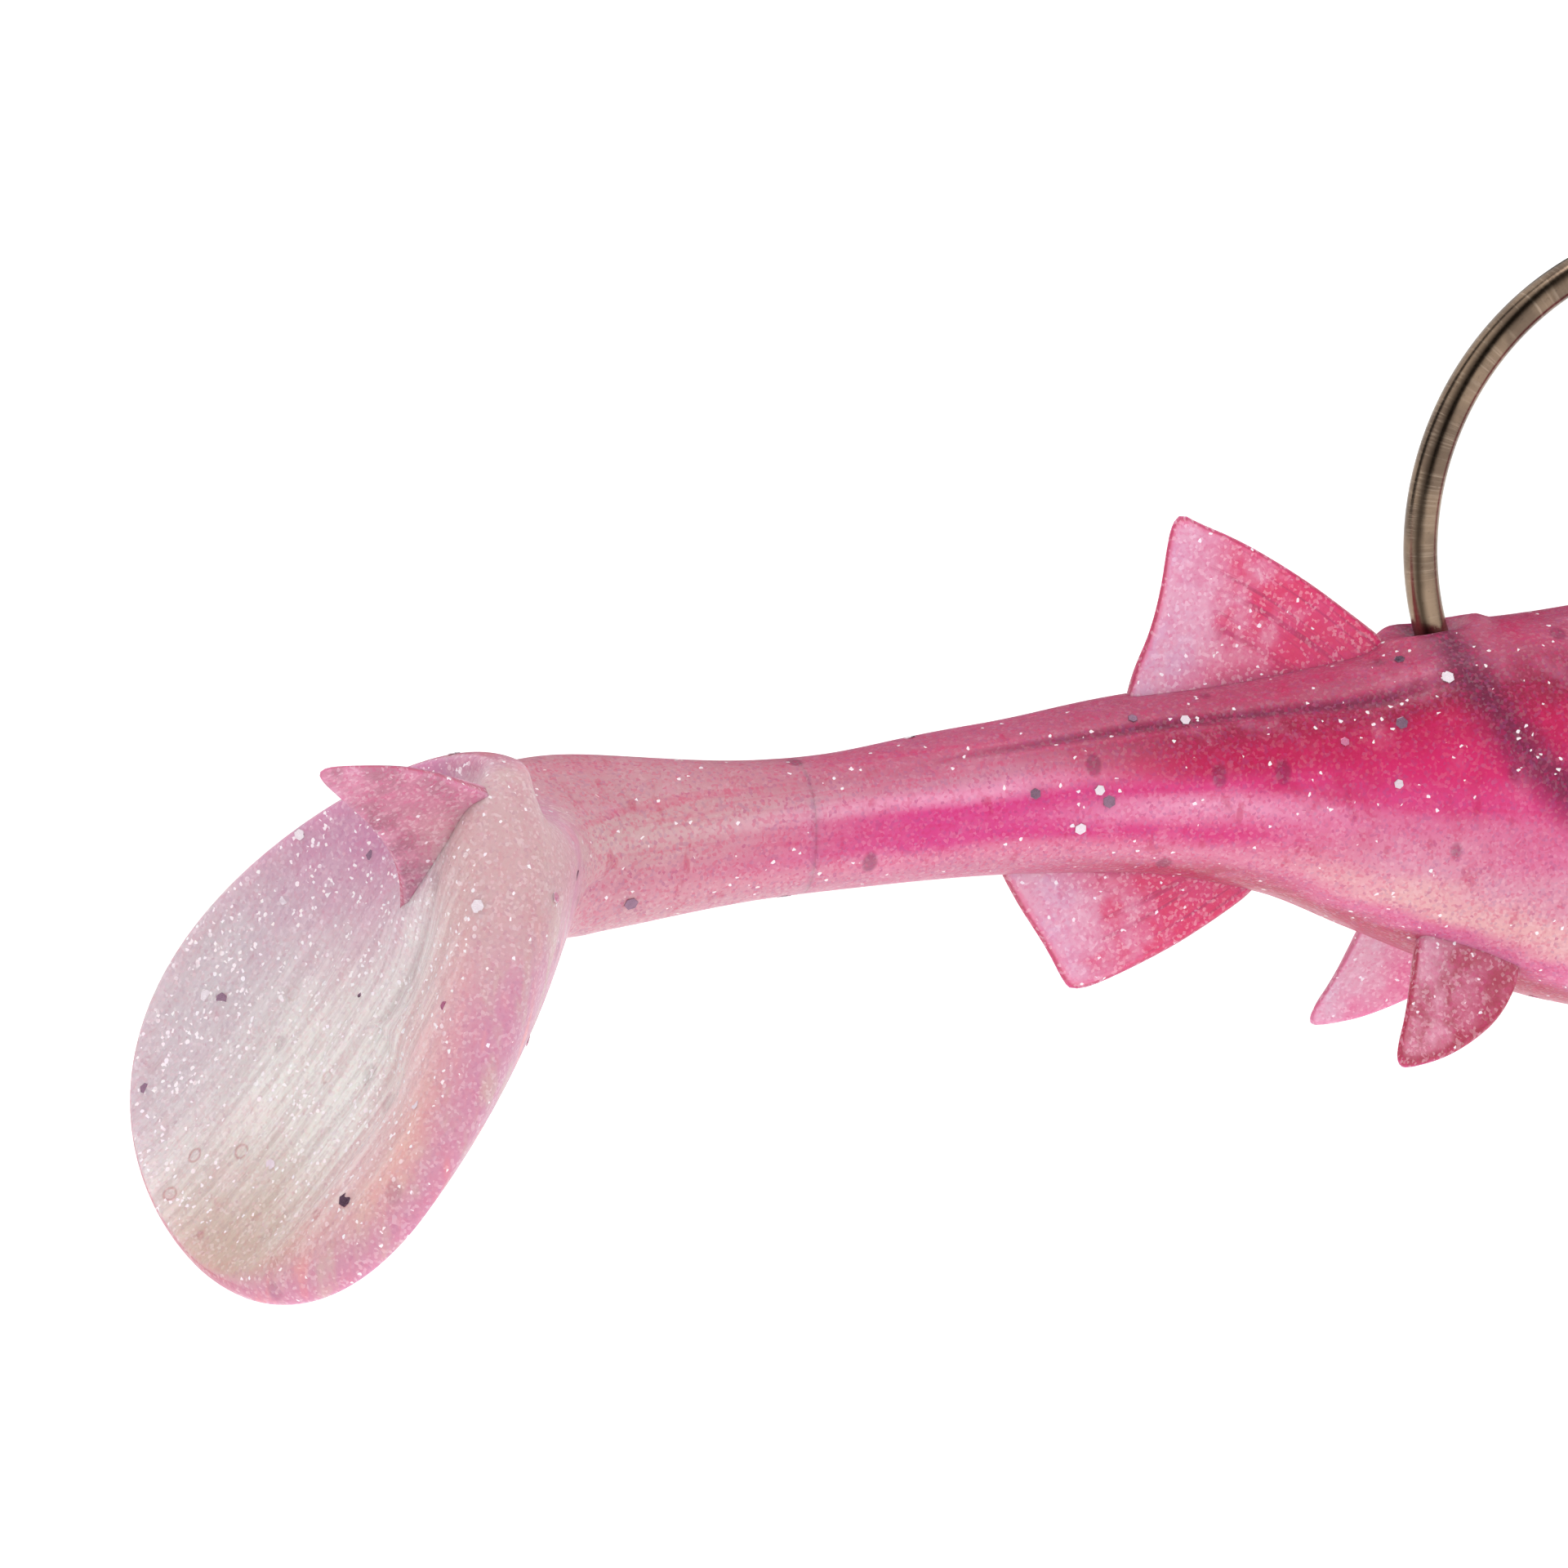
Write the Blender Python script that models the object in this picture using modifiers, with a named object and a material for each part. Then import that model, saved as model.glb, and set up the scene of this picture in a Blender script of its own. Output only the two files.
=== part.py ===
"""A rigged paddle-tail jig: a cast weight and jig hook inside a soft fish body with a kicking tail.

Metres, +Z up. The origin is the centre of the line eye, +X points to the nose, and the hook lies in
the plane Y = 0. The soft body is one moulding on the real thing; here it is cut where it flexes, and
each cut has a narrow neck, so that the rigid pieces can turn against each other.
"""

import math

import bmesh
import bpy
import numpy as np
from mathutils import Matrix, Vector

MM = 0.001

# Clearances
SOFT_GAP = 0.3 * MM  # between the soft body and what it is moulded round
EYE_GAP = 0.15 * MM  # between the foil, the dome and their socket

# Soft body, nose to wrist
NOSE_AHEAD = 5.5 * MM  # the nose, ahead of the line eye
FOREBODY_LENGTH = 64.0 * MM  # the nose to the stem's flexing neck
STEM_LENGTH = 15.0 * MM  # that neck to the wrist
BODY_DEPTH = 16.6 * MM
BODY_WIDTH = 11.4 * MM
EYE_STAND = 0.84 * MM  # the line eye's ring, above the head
SECTION_POWER = 2.2  # 2 is an ellipse, more is squarer
# Station from nose to wrist, then height above the axis, depth below it and half width, as shares
# of the body's depth and width.
STATIONS = (
    (0.010, 0.085, 0.095, 0.130),
    (0.040, 0.175, 0.170, 0.235),
    (0.082, 0.265, 0.253, 0.320),
    (0.146, 0.361, 0.349, 0.400),
    (0.222, 0.445, 0.434, 0.460),
    (0.323, 0.500, 0.494, 0.490),
    (0.424, 0.496, 0.482, 0.480),
    (0.542, 0.451, 0.383, 0.425),
    (0.603, 0.430, 0.270, 0.385),
    (0.640, 0.380, 0.193, 0.350),
    (0.684, 0.352, 0.102, 0.312),
    (0.747, 0.322, 0.045, 0.262),
    (0.811, 0.283, 0.033, 0.220),
    (0.904, 0.235, 0.048, 0.190),
    (1.000, 0.245, 0.105, 0.200),
)
NECK_TIP = 0.15 * MM  # half width of a neck's edge
STEM_NECK = 1.3 * MM  # length of the necks at the stem's root
WRIST_NECK = 1.6 * MM  # length of the necks at the wrist

# Paddle, as a flared boot whose sole faces back and up
PADDLE_LENGTH = 20.2 * MM
PADDLE_WIDTH = 16.2 * MM
PADDLE_TILT = math.radians(23.5)  # the sole's lean from upright, foot backwards
PADDLE_ROLL = math.radians(24)  # the sole's twist about its own normal
PADDLE_TURN = math.radians(26)  # the relaxed tail rests turned to the fish's right
PADDLE_BACK = 10.7 * MM  # the sole's middle, behind the wrist
PADDLE_LOW = 4.1 * MM  # the sole's middle, below the stem's middle
PADDLE_FLARE = 1.5
PADDLE_EGG = 0.30  # how much broader the foot is than the top
PADDLE_NEAR_SIDE = 0.86  # the right half's width against the left half's
RIM_THICKNESS = 0.9 * MM
SOLE_HOLLOW = 1.3 * MM

# Fins
FIN_THICKNESS = 0.6 * MM
DORSAL_LENGTH = 9.8 * MM
DORSAL_BEHIND_WIRE = 0.7 * MM
DORSAL_HEIGHT = 5.8 * MM
ANAL_LENGTH = 9.6 * MM
ANAL_BEFORE_STEM = 0.5 * MM  # its back end, ahead of the stem's neck
ANAL_HEIGHT = 3.9 * MM
PELVIC_BEFORE_ANAL = 8.7 * MM  # front end to front end
PELVIC_ROOT = 4.0 * MM
PELVIC_SPAN = 4.2 * MM
PELVIC_LOW = 0.88  # its root's place down the flank, 1 at the belly
PELVIC_SPLAY = math.radians(22)  # its lean out from straight down
PECTORAL_FRONT = 20.0 * MM  # behind the nose
PECTORAL_ROOT = 2.6 * MM
PECTORAL_SPAN = 7.0 * MM
PECTORAL_LOW = 0.50
PECTORAL_SPLAY = math.radians(48)
LOBE_HEIGHT = 7.6 * MM  # the small upper lobe's reach from the sole
LOBE_ROOT = 5.7 * MM
LOBE_TOP = 1.1 * MM  # its root's upper end, below the sole's top

# Hook
WIRE = 1.2 * MM
EYE_HOLE = 1.9 * MM
LEG_BEND = 2.4 * MM  # radius from the eye's leg to the shank
SHANK_LOW = 0.5 * MM  # the shank, below the body's long axis
BEND_RADIUS = 10.5 * MM
EXIT_BEFORE_STEM = 16.2 * MM  # where the wire leaves the back, ahead of the stem's neck
POINT_LEG = 10.0 * MM
POINT_DROP = 0.8 * MM
POINT_TAPER = 3.2 * MM
BARB_LENGTH = 1.8 * MM
BARB_BACK = 4.6 * MM  # the barb's tip, behind the point

# Cast weight
LEAD_AHEAD = 1.2 * MM
LEAD_LENGTH = 13.0 * MM
LEAD_HEIGHT = 6.8 * MM
LEAD_WIDTH = 6.0 * MM
KEEPER_LENGTH = 5.5 * MM
KEEPER_WIDTH = 3.6 * MM

# Eyes
EYE_BACK = 3.0 * MM
EYE_RISE = 1.3 * MM  # above the body's long axis
EYE_DIAMETER = 4.4 * MM
EYE_SOCKET_FLOOR = 3.2 * MM  # from the middle plane
FOIL_THICKNESS = 0.3 * MM
DOME_HEIGHT = 1.1 * MM

# How finely the round forms are divided
SECTION_POINTS = 28
WIRE_STEP = math.radians(10)

NOSE_X = NOSE_AHEAD
STEM_X = NOSE_X - FOREBODY_LENGTH
WRIST_X = STEM_X - STEM_LENGTH
BODY_LENGTH = FOREBODY_LENGTH + STEM_LENGTH
BEND_MIDDLE = FOREBODY_LENGTH - NOSE_AHEAD - EXIT_BEFORE_STEM - BEND_RADIUS
RING_RADIUS = (EYE_HOLE + WIRE) / 2
DORSAL_FRONT = NOSE_AHEAD + BEND_MIDDLE + BEND_RADIUS + WIRE / 2 + DORSAL_BEHIND_WIRE
ANAL_FRONT = FOREBODY_LENGTH - ANAL_BEFORE_STEM - ANAL_LENGTH
PELVIC_FRONT = ANAL_FRONT - PELVIC_BEFORE_ANAL


def clear_scene():
    for old in list(bpy.data.objects):
        bpy.data.objects.remove(old, do_unlink=True)


def collection(name):
    made = bpy.data.collections.new(name)
    bpy.context.scene.collection.children.link(made)
    return made


def material(name, color, roughness, metallic=0.0):
    made = bpy.data.materials.new(name)
    made.use_nodes = True
    surface = made.node_tree.nodes["Principled BSDF"]
    surface.inputs["Base Color"].default_value = (*color, 1.0)
    surface.inputs["Roughness"].default_value = roughness
    surface.inputs["Metallic"].default_value = metallic
    return made


def add_object(name, data, home, surface):
    made = bpy.data.objects.new(name, data)
    data.materials.append(surface)
    home.objects.link(made)
    return made


def hide_cutter(cutter):
    cutter.hide_render = True
    cutter.display_type = "WIRE"


def cut(target, cutter, operation="DIFFERENCE"):
    step = target.modifiers.new(cutter.name, "BOOLEAN")
    step.operation = operation
    step.solver = "EXACT"
    step.object = cutter


def lofted_mesh(name, rings):
    """A closed mesh through equal rings of points, with a flat cap on each end ring."""
    count = len(rings[0])
    shape = bmesh.new()
    loops = [[shape.verts.new(point) for point in ring] for ring in rings]
    for first, second in zip(loops, loops[1:]):
        for i in range(count):
            j = (i + 1) % count
            shape.faces.new((first[i], first[j], second[j], second[i]))
    shape.faces.new(loops[0])
    shape.faces.new(list(reversed(loops[-1])))
    bmesh.ops.recalc_face_normals(shape, faces=shape.faces)
    data = bpy.data.meshes.new(name)
    shape.to_mesh(data)
    shape.free()
    data.shade_smooth()
    data.set_sharp_from_angle(angle=math.radians(40))
    return data


def smooth_through(places, values, at):
    """Values on a smooth curve through the stations, with no overshoot between them."""
    places, values = np.asarray(places), np.asarray(values)
    steps = np.diff(places)
    slopes = np.diff(values) / steps
    inner = np.where(
        slopes[1:] * slopes[:-1] > 0,
        2 * slopes[1:] * slopes[:-1] / (slopes[1:] + slopes[:-1] + 1e-12 * np.sign(slopes[1:] + 1e-30)),
        0.0,
    )
    tangents = np.concatenate([[slopes[0]], inner, [slopes[-1]]])
    i = np.clip(np.searchsorted(places, at) - 1, 0, len(steps) - 1)
    t = (at - places[i]) / steps[i]
    rise = tangents[i] * steps[i]
    run = tangents[i + 1] * steps[i]
    return (
        values[i] * (2 * t**3 - 3 * t**2 + 1)
        + values[i + 1] * (3 * t**2 - 2 * t**3)
        + rise * (t**3 - 2 * t**2 + t)
        + run * (t**3 - t**2)
    )


def section_shares(x):
    """Height above the long axis, depth below it and half width, as shares."""
    share = (NOSE_X - x) / BODY_LENGTH
    table = np.array(STATIONS)
    return [smooth_through(table[:, 0], table[:, k], share) for k in (1, 2, 3)]


AXIS_DROP = RING_RADIUS + WIRE / 2 + EYE_STAND + section_shares(0)[0] * BODY_DEPTH
SHANK_DROP = AXIS_DROP + SHANK_LOW


def body_extent(x):
    """Top, bottom and half width of the soft body at one place along it."""
    up, down, side = section_shares(x)
    return -AXIS_DROP + up * BODY_DEPTH, -AXIS_DROP - down * BODY_DEPTH, side * BODY_WIDTH


def oval(x, top, bottom, half_width, power=2.0):
    """One upright ring, from the +Y side round over the top."""
    middle, half_height = (top + bottom) / 2, (top - bottom) / 2
    turn = np.arange(SECTION_POINTS) * 2 * math.pi / SECTION_POINTS
    y = np.sign(np.cos(turn)) * np.abs(np.cos(turn)) ** (2 / power)
    z = np.sign(np.sin(turn)) * np.abs(np.sin(turn)) ** (2 / power)
    return np.column_stack([np.full(SECTION_POINTS, x), y * half_width, middle + z * half_height])


def necked(x, ends, half_width):
    """The half width, narrowed to a neck near each of the given (place, length) ends."""
    for place, length in ends:
        share = abs(x - place) / length
        if share < 1:
            half_width = min(half_width, NECK_TIP + share * (half_width - NECK_TIP))
    return half_width


def body_rings(places, ends):
    rings = []
    for x in places:
        top, bottom, half_width = body_extent(x)
        rings.append(oval(x, top, bottom, necked(x, ends, half_width), SECTION_POWER))
    return rings


def eased(start, end, count):
    """Places from start to end, closer together near the start."""
    share = 1 - np.cos(np.linspace(0, math.pi / 2, count))
    return start + (end - start) * share


def make_forebody(home, cutters, surface):
    tail_end = STEM_X + SOFT_GAP / 2
    share_first = STATIONS[0][0]
    first = NOSE_X - share_first * BODY_LENGTH
    neck_start = tail_end + STEM_NECK
    places = list(eased(first, NOSE_X - 0.2 * BODY_LENGTH, 9))
    places += list(np.linspace(places[-1], neck_start, 22))[1:]
    places += [neck_start - STEM_NECK / 2, tail_end]
    rings = body_rings(places, [(tail_end, STEM_NECK)])
    nose = np.array([NOSE_X, 0, rings[0][:, 2].mean()])
    rings = [nose + (rings[0] - nose) * [0.35, 0.55, 0.55]] + rings
    body = add_object("forebody", lofted_mesh("forebody", rings), home, surface)
    pocket = add_object("lead_pocket", lead_mesh("lead_pocket", SOFT_GAP), cutters, surface)
    tunnel = wire_tube("wire_tunnel", tunnel_path(), WIRE / 2 + SOFT_GAP, cutters, surface)
    for cutter in (pocket, tunnel):
        hide_cutter(cutter)
        cut(body, cutter)
    for side in (1, -1):
        socket = eye_disc(
            f"eye_socket_{side_name(side)}",
            side,
            EYE_DIAMETER / 2 + EYE_GAP,
            EYE_SOCKET_FLOOR,
            EYE_SOCKET_FLOOR + BODY_WIDTH,
            cutters,
            surface,
        )
        hide_cutter(socket)
        cut(body, socket)


def make_stem(home, surface):
    front, back = STEM_X - SOFT_GAP / 2, WRIST_X + SOFT_GAP / 2
    places = [front, front - STEM_NECK / 2]
    places += list(np.linspace(front - STEM_NECK, back + WRIST_NECK, 10))
    places += [back + WRIST_NECK / 2, back]
    rings = body_rings(places, [(front, STEM_NECK), (back, WRIST_NECK)])
    stem = add_object("tail_stem", lofted_mesh("tail_stem", rings), home, surface)
    set_origin(stem, (STEM_X, 0, stem_middle()))


def stem_middle():
    top, bottom, _ = body_extent(WRIST_X)
    return (top + bottom) / 2


def set_origin(obj, place):
    """Moves an unturned object's origin to its joint, leaving its shape where it is."""
    shift = Vector(place) - obj.location
    obj.data.transform(Matrix.Translation(-shift))
    obj.location = place


def tail_turn():
    """The turn of the relaxed paddle about the wrist."""
    pivot = Matrix.Translation((WRIST_X, 0, 0))
    return pivot @ Matrix.Rotation(PADDLE_TURN, 4, "Z") @ pivot.inverted()


def sole_frame():
    """The sole's middle, the ways down the foot and across it, and its normal, before the turn."""
    middle = Vector((WRIST_X - PADDLE_BACK, 0, stem_middle() - PADDLE_LOW))
    upright = Vector((-math.sin(PADDLE_TILT), 0, -math.cos(PADDLE_TILT)))
    normal = Vector((-math.cos(PADDLE_TILT), 0, math.sin(PADDLE_TILT)))
    left = Vector((0, 1, 0))
    down = upright * math.cos(PADDLE_ROLL) + left * math.sin(PADDLE_ROLL)
    across = left * math.cos(PADDLE_ROLL) - upright * math.sin(PADDLE_ROLL)
    return middle, down, across, normal


def sole_outline(scale, depth):
    """An egg outline round the sole, at a share of its size and sunk by a depth."""
    middle, down, side, normal = sole_frame()
    turn = np.arange(SECTION_POINTS) * 2 * math.pi / SECTION_POINTS
    along = -np.sin(turn) * scale
    across = np.cos(turn) * scale * (1 + PADDLE_EGG * along)
    across = np.where(across < 0, PADDLE_NEAR_SIDE * across, across)
    return (
        np.array(middle)
        + np.outer(along * PADDLE_LENGTH / 2, down)
        + np.outer(across * PADDLE_WIDTH / 2, side)
        - np.outer(np.full(SECTION_POINTS, depth), normal)
    )


def make_paddle(home, surface):
    """The wrist's oval flares to the sole's egg outline, and the sole is hollowed."""
    front = WRIST_X - SOFT_GAP / 2
    top, bottom, half_width = body_extent(WRIST_X)
    start = oval(front, top, bottom, NECK_TIP)
    wrist = oval(front - WRIST_NECK, top, bottom, half_width)
    rim = sole_outline(1.0, RIM_THICKNESS)
    rings = [start, oval(front - WRIST_NECK / 2, top, bottom, (NECK_TIP + half_width) / 2), wrist]
    for share in np.linspace(0, 1, 8)[1:]:
        forward = share * (rim - wrist).mean(axis=0)
        spread = share**PADDLE_FLARE
        shape = (1 - spread) * (wrist - wrist.mean(axis=0)) + spread * (rim - rim.mean(axis=0))
        rings.append(wrist.mean(axis=0) + forward + shape)
    for scale in (1.0, 0.8, 0.6, 0.4, 0.2):
        rings.append(sole_outline(scale, SOLE_HOLLOW * (1 - scale**2)))
    paddle = add_object("tail_paddle", lofted_mesh("tail_paddle", rings), home, surface)
    paddle.data.transform(tail_turn())
    set_origin(paddle, (WRIST_X, 0, stem_middle()))


def flat_plate(name, outline, thickness, home, surface):
    """A flat outline in the local XY plane, thickened along local Z."""
    data = bpy.data.curves.new(name, "CURVE")
    data.dimensions = "2D"
    data.fill_mode = "BOTH"
    data.extrude = thickness / 2
    line = data.splines.new("POLY")
    line.points.add(len(outline) - 1)
    for point, (x, y) in zip(line.points, outline):
        point.co = (x, y, 0, 1)
    line.use_cyclic_u = True
    return add_object(name, data, home, surface)


def placed(origin, along, up):
    """A frame with local X along one direction and local Y as near to another as it can be."""
    x = Vector(along).normalized()
    z = x.cross(Vector(up)).normalized()
    y = z.cross(x)
    turn = Matrix((x, y, z)).transposed().to_4x4()
    return Matrix.Translation(origin) @ turn


def shaped(outline, length, height):
    return [(x * length, y * height) for x, y in outline]


# Fin outlines as shares: along the root from front to back, then out from it.
DORSAL_SHAPE = (
    (0.00, 0.0), (0.03, 0.15), (0.27, 0.47), (0.49, 0.73), (0.66, 0.91), (0.71, 0.98),
    (0.75, 0.92), (0.78, 0.78), (0.82, 0.55), (0.88, 0.31), (0.96, 0.10), (1.0, 0.0),
)
ANAL_SHAPE = (
    (0.00, 0.0), (0.16, 0.27), (0.32, 0.52), (0.57, 0.86), (0.66, 0.93),
    (0.70, 0.90), (0.79, 0.57), (0.92, 0.20), (1.0, 0.0),
)
PELVIC_SHAPE = (
    (0.0, 0.0), (0.10, 0.35), (0.45, 0.75), (0.82, 0.98), (0.93, 1.0),
    (0.98, 0.88), (0.96, 0.60), (0.98, 0.25), (1.0, 0.0),
)
PECTORAL_SHAPE = (
    (0.0, 0.0), (0.20, 0.30), (0.75, 0.72), (1.28, 0.97), (1.40, 1.0),
    (1.42, 0.88), (1.28, 0.60), (1.02, 0.22), (0.95, 0.0),
)
LOBE_SHAPE = (
    (0.0, 0.05), (-0.04, 0.30), (-0.05, 0.60), (0.06, 0.92), (0.12, 1.0), (0.20, 0.98),
    (0.34, 0.80), (0.46, 0.62), (0.61, 0.43), (0.80, 0.25), (1.0, 0.05),
)


def make_middle_fin(name, front, length, height, shape, upward, home, surface):
    """A fin standing on the back or the belly, its root following the body."""
    side = 1 if upward else -1
    edge = 0 if upward else 1
    roots = []
    for share in np.linspace(0, 1, 5):
        x = NOSE_X - front - share * length
        roots.append(Vector((x, 0, body_extent(x)[edge] + side * SOFT_GAP)))
    origin = roots[0].copy()
    origin.z -= side * SOFT_GAP / 2
    pose = placed(origin, roots[-1] - roots[0], (0, 0, side))
    into = pose.inverted()
    root_line = [tuple((into @ p)[:2]) for p in reversed(roots[1:-1])]
    base = SOFT_GAP / 2
    outline = [(x, y + base) for x, y in shaped(shape, length, height)] + root_line
    fin = flat_plate(name, outline, FIN_THICKNESS, home, surface)
    fin.matrix_world = pose


def side_name(side):
    return "left" if side > 0 else "right"


def make_paired_fin(name, shape, front, root, span, low, splay, side, home, surface):
    """A fin on one flank: low is its place down the section, splay its lean out from straight down."""
    x = NOSE_X - front
    ends = []
    for place in (x, x - root):
        top, bottom, half_width = body_extent(place)
        middle, half_height = (top + bottom) / 2, (top - bottom) / 2
        reach = (1 - low**SECTION_POWER) ** (1 / SECTION_POWER)
        ends.append(Vector((place, side * half_width * reach, middle - half_height * low)))
    out = Vector((0, side * math.sin(splay), -math.cos(splay)))
    origin = ends[0] + out * (SOFT_GAP + FIN_THICKNESS / 2)
    fin = flat_plate(name, shaped(shape, root, span), FIN_THICKNESS, home, surface)
    fin.matrix_world = placed(origin, ends[1] - ends[0], out)


def make_upper_lobe(home, surface):
    """The small lobe that stands on the upper half of the sole, in line with the foot."""
    middle, down, _, normal = sole_frame()
    top = LOBE_TOP - PADDLE_LENGTH / 2
    ends = []
    for place in (top, top + LOBE_ROOT):
        sunk = SOLE_HOLLOW * (1 - (2 * place / PADDLE_LENGTH) ** 2)
        ends.append(middle + down * place - normal * (sunk - SOFT_GAP))
    outline = shaped(LOBE_SHAPE, LOBE_ROOT, LOBE_HEIGHT)
    lobe = flat_plate("tail_upper_lobe", outline, FIN_THICKNESS, home, surface)
    lobe.matrix_world = tail_turn() @ placed(ends[0], ends[1] - ends[0], normal)


def arc(centre, radius, start, end):
    """Points of an arc in the hook's plane, by angle from +X towards +Z, both ends included."""
    count = max(2, int(math.ceil(abs(end - start) / WIRE_STEP)) + 1)
    return [
        Vector((centre[0] + radius * math.cos(a), 0, centre[1] + radius * math.sin(a)))
        for a in np.linspace(start, end, count)
    ]


def leg_and_shank():
    """From under the eye down its leg, round to the shank and back to the round bend."""
    top = Vector((0, 0, -RING_RADIUS))
    corner = arc((-LEG_BEND, LEG_BEND - SHANK_DROP), LEG_BEND, 0, -math.pi / 2)
    gap = (BEND_MIDDLE - LEG_BEND) / 8
    shank = [Vector((-LEG_BEND - gap * k, 0, -SHANK_DROP)) for k in range(1, 8)]
    return [top] + corner + shank


def bend_centre():
    return (-BEND_MIDDLE, BEND_RADIUS - SHANK_DROP)


def tunnel_path():
    """The wire's way through the soft body, run on past the head's top and the back."""
    start = [Vector((0, 0, -EYE_HOLE / 2))]
    return start + leg_and_shank() + arc(bend_centre(), BEND_RADIUS, -math.pi / 2, -1.5 * math.pi)


def hook_path():
    """The wire from under the eye to the point, with a radius share for each point."""
    bend = arc(bend_centre(), BEND_RADIUS, -math.pi / 2, -1.5 * math.pi)
    top = bend[-1]
    tip = top + Vector((POINT_LEG, 0, -POINT_DROP))
    shoulder = tip + (top - tip).normalized() * POINT_TAPER
    points = leg_and_shank() + bend + [(top + shoulder) / 2, shoulder]
    radii = [1.0] * len(points)
    for share, radius in ((0.5, 0.66), (0.85, 0.32), (1.0, 0.10)):
        points.append(shoulder.lerp(tip, share))
        radii.append(radius)
    return points, radii


def eye_ring(cutters, surface):
    """The closed ring of the line eye, turned round the Y axis."""
    turn = np.linspace(0, 2 * math.pi, 10, endpoint=False)
    outline = [(RING_RADIUS + WIRE / 2 * math.cos(a), 0, -WIRE / 2 * math.sin(a)) for a in turn]
    count = len(outline)
    data = bpy.data.meshes.new("eye_ring_form")
    data.from_pydata(outline, [(i, (i + 1) % count) for i in range(count)], [])
    ring = add_object("eye_ring_form", data, cutters, surface)
    spin = ring.modifiers.new("turned", "SCREW")
    spin.steps = spin.render_steps = 32
    spin.use_merge_vertices = True
    spin.merge_threshold = 0.00001
    ring.rotation_euler = (math.pi / 2, 0, 0)
    hide_cutter(ring)
    return ring


def wire_tube(name, points, radius, home, surface, radii=None):
    """A round wire along the points, made a closed mesh."""
    data = bpy.data.curves.new(name, "CURVE")
    data.dimensions = "3D"
    data.bevel_depth = radius
    data.bevel_resolution = 2
    data.use_fill_caps = True
    line = data.splines.new("POLY")
    line.points.add(len(points) - 1)
    for i, (point, place) in enumerate(zip(line.points, points)):
        point.co = (*place, 1)
        point.radius = radii[i] if radii else 1.0
    guide = add_object(name + "_guide", data, home, surface)
    bpy.context.view_layer.update()
    mesh = bpy.data.meshes.new_from_object(guide.evaluated_get(bpy.context.evaluated_depsgraph_get()))
    shape = bmesh.new()
    shape.from_mesh(mesh)
    bmesh.ops.remove_doubles(shape, verts=shape.verts, dist=0.001 * MM)
    bmesh.ops.recalc_face_normals(shape, faces=shape.faces)
    shape.to_mesh(mesh)
    shape.free()
    mesh.materials.clear()
    tube = add_object(name, mesh, home, surface)
    tube.matrix_world = guide.matrix_world
    bpy.data.objects.remove(guide, do_unlink=True)
    mesh.shade_smooth()
    return tube


def make_hook(home, cutters, surface):
    points, radii = hook_path()
    hook = wire_tube("hook", points, WIRE / 2, home, surface, radii)
    tip, top = points[-1], points[-5]
    back = (top - tip).normalized()
    barb_tip = tip + back * BARB_BACK + Vector((0, 0, -WIRE * 0.85))
    root = tip + back * (BARB_BACK - BARB_LENGTH) + Vector((0, 0, -WIRE * 0.15))
    shape = bmesh.new()
    bmesh.ops.create_cone(shape, cap_ends=True, segments=8, radius1=WIRE * 0.30,
                          radius2=WIRE * 0.06, depth=(barb_tip - root).length)
    turn = Vector((0, 0, 1)).rotation_difference(barb_tip - root).to_matrix().to_4x4()
    shape.transform(Matrix.Translation((root + barb_tip) / 2) @ turn)
    data = bpy.data.meshes.new("barb")
    shape.to_mesh(data)
    shape.free()
    barb = add_object("barb_form", data, cutters, surface)
    hide_cutter(barb)
    cut(hook, barb, "UNION")
    cut(hook, eye_ring(cutters, surface), "UNION")


def lead_mesh(name, grow):
    """The weight: a bullet-nosed oval body that steps down to a ringed keeper on the shank."""
    nose, back = LEAD_AHEAD, LEAD_AHEAD - LEAD_LENGTH
    rings = []
    for share in (0.02, 0.08, 0.18, 0.32, 0.48, 0.64, 0.80, 0.92, 1.0):
        fullness = math.sin(math.pi * share**0.72) ** 0.55 if share < 1 else 0.0
        half_width = max(fullness * LEAD_WIDTH / 2, KEEPER_WIDTH / 2 * min(1, share * 3))
        half_height = max(fullness * LEAD_HEIGHT / 2, KEEPER_WIDTH / 2 * min(1, share * 3))
        rings.append((nose + share * (back - nose), half_width, half_height))
    for share, swell in ((0.15, 0.80), (0.45, 0.78), (0.52, 1.0), (0.80, 0.78), (1.0, 0.72)):
        half = KEEPER_WIDTH / 2 * swell
        rings.append((back - share * KEEPER_LENGTH, half, half))
    first, last = rings[0], rings[-1]
    rings = [(first[0] + grow, first[1], first[2])] + rings[1:-1]
    rings.append((last[0] - grow, last[1], last[2]))
    return lofted_mesh(name, [
        oval(x, -SHANK_DROP + high + grow, -SHANK_DROP - high - grow, wide + grow)
        for x, wide, high in rings
    ])


def make_lead(home, cutters, surface):
    lead = add_object("lead_weight", lead_mesh("lead_weight", 0.0), home, surface)
    channel = wire_tube("wire_channel", tunnel_path(), WIRE / 2 + SOFT_GAP, cutters, surface)
    hide_cutter(channel)
    cut(lead, channel)


def eye_disc(name, side, radius, inner, outer, home, surface):
    """A disc on the head's side, between two distances from the middle plane."""
    shape = bmesh.new()
    bmesh.ops.create_cone(shape, cap_ends=True, segments=28, radius1=radius, radius2=radius,
                          depth=outer - inner)
    shape.transform(Matrix.Rotation(math.pi / 2, 4, "X"))
    data = bpy.data.meshes.new(name)
    shape.to_mesh(data)
    shape.free()
    data.shade_smooth()
    data.set_sharp_from_angle(angle=math.radians(40))
    disc = add_object(name, data, home, surface)
    disc.location = (-EYE_BACK, side * (inner + outer) / 2, EYE_RISE - AXIS_DROP)
    return disc


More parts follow.
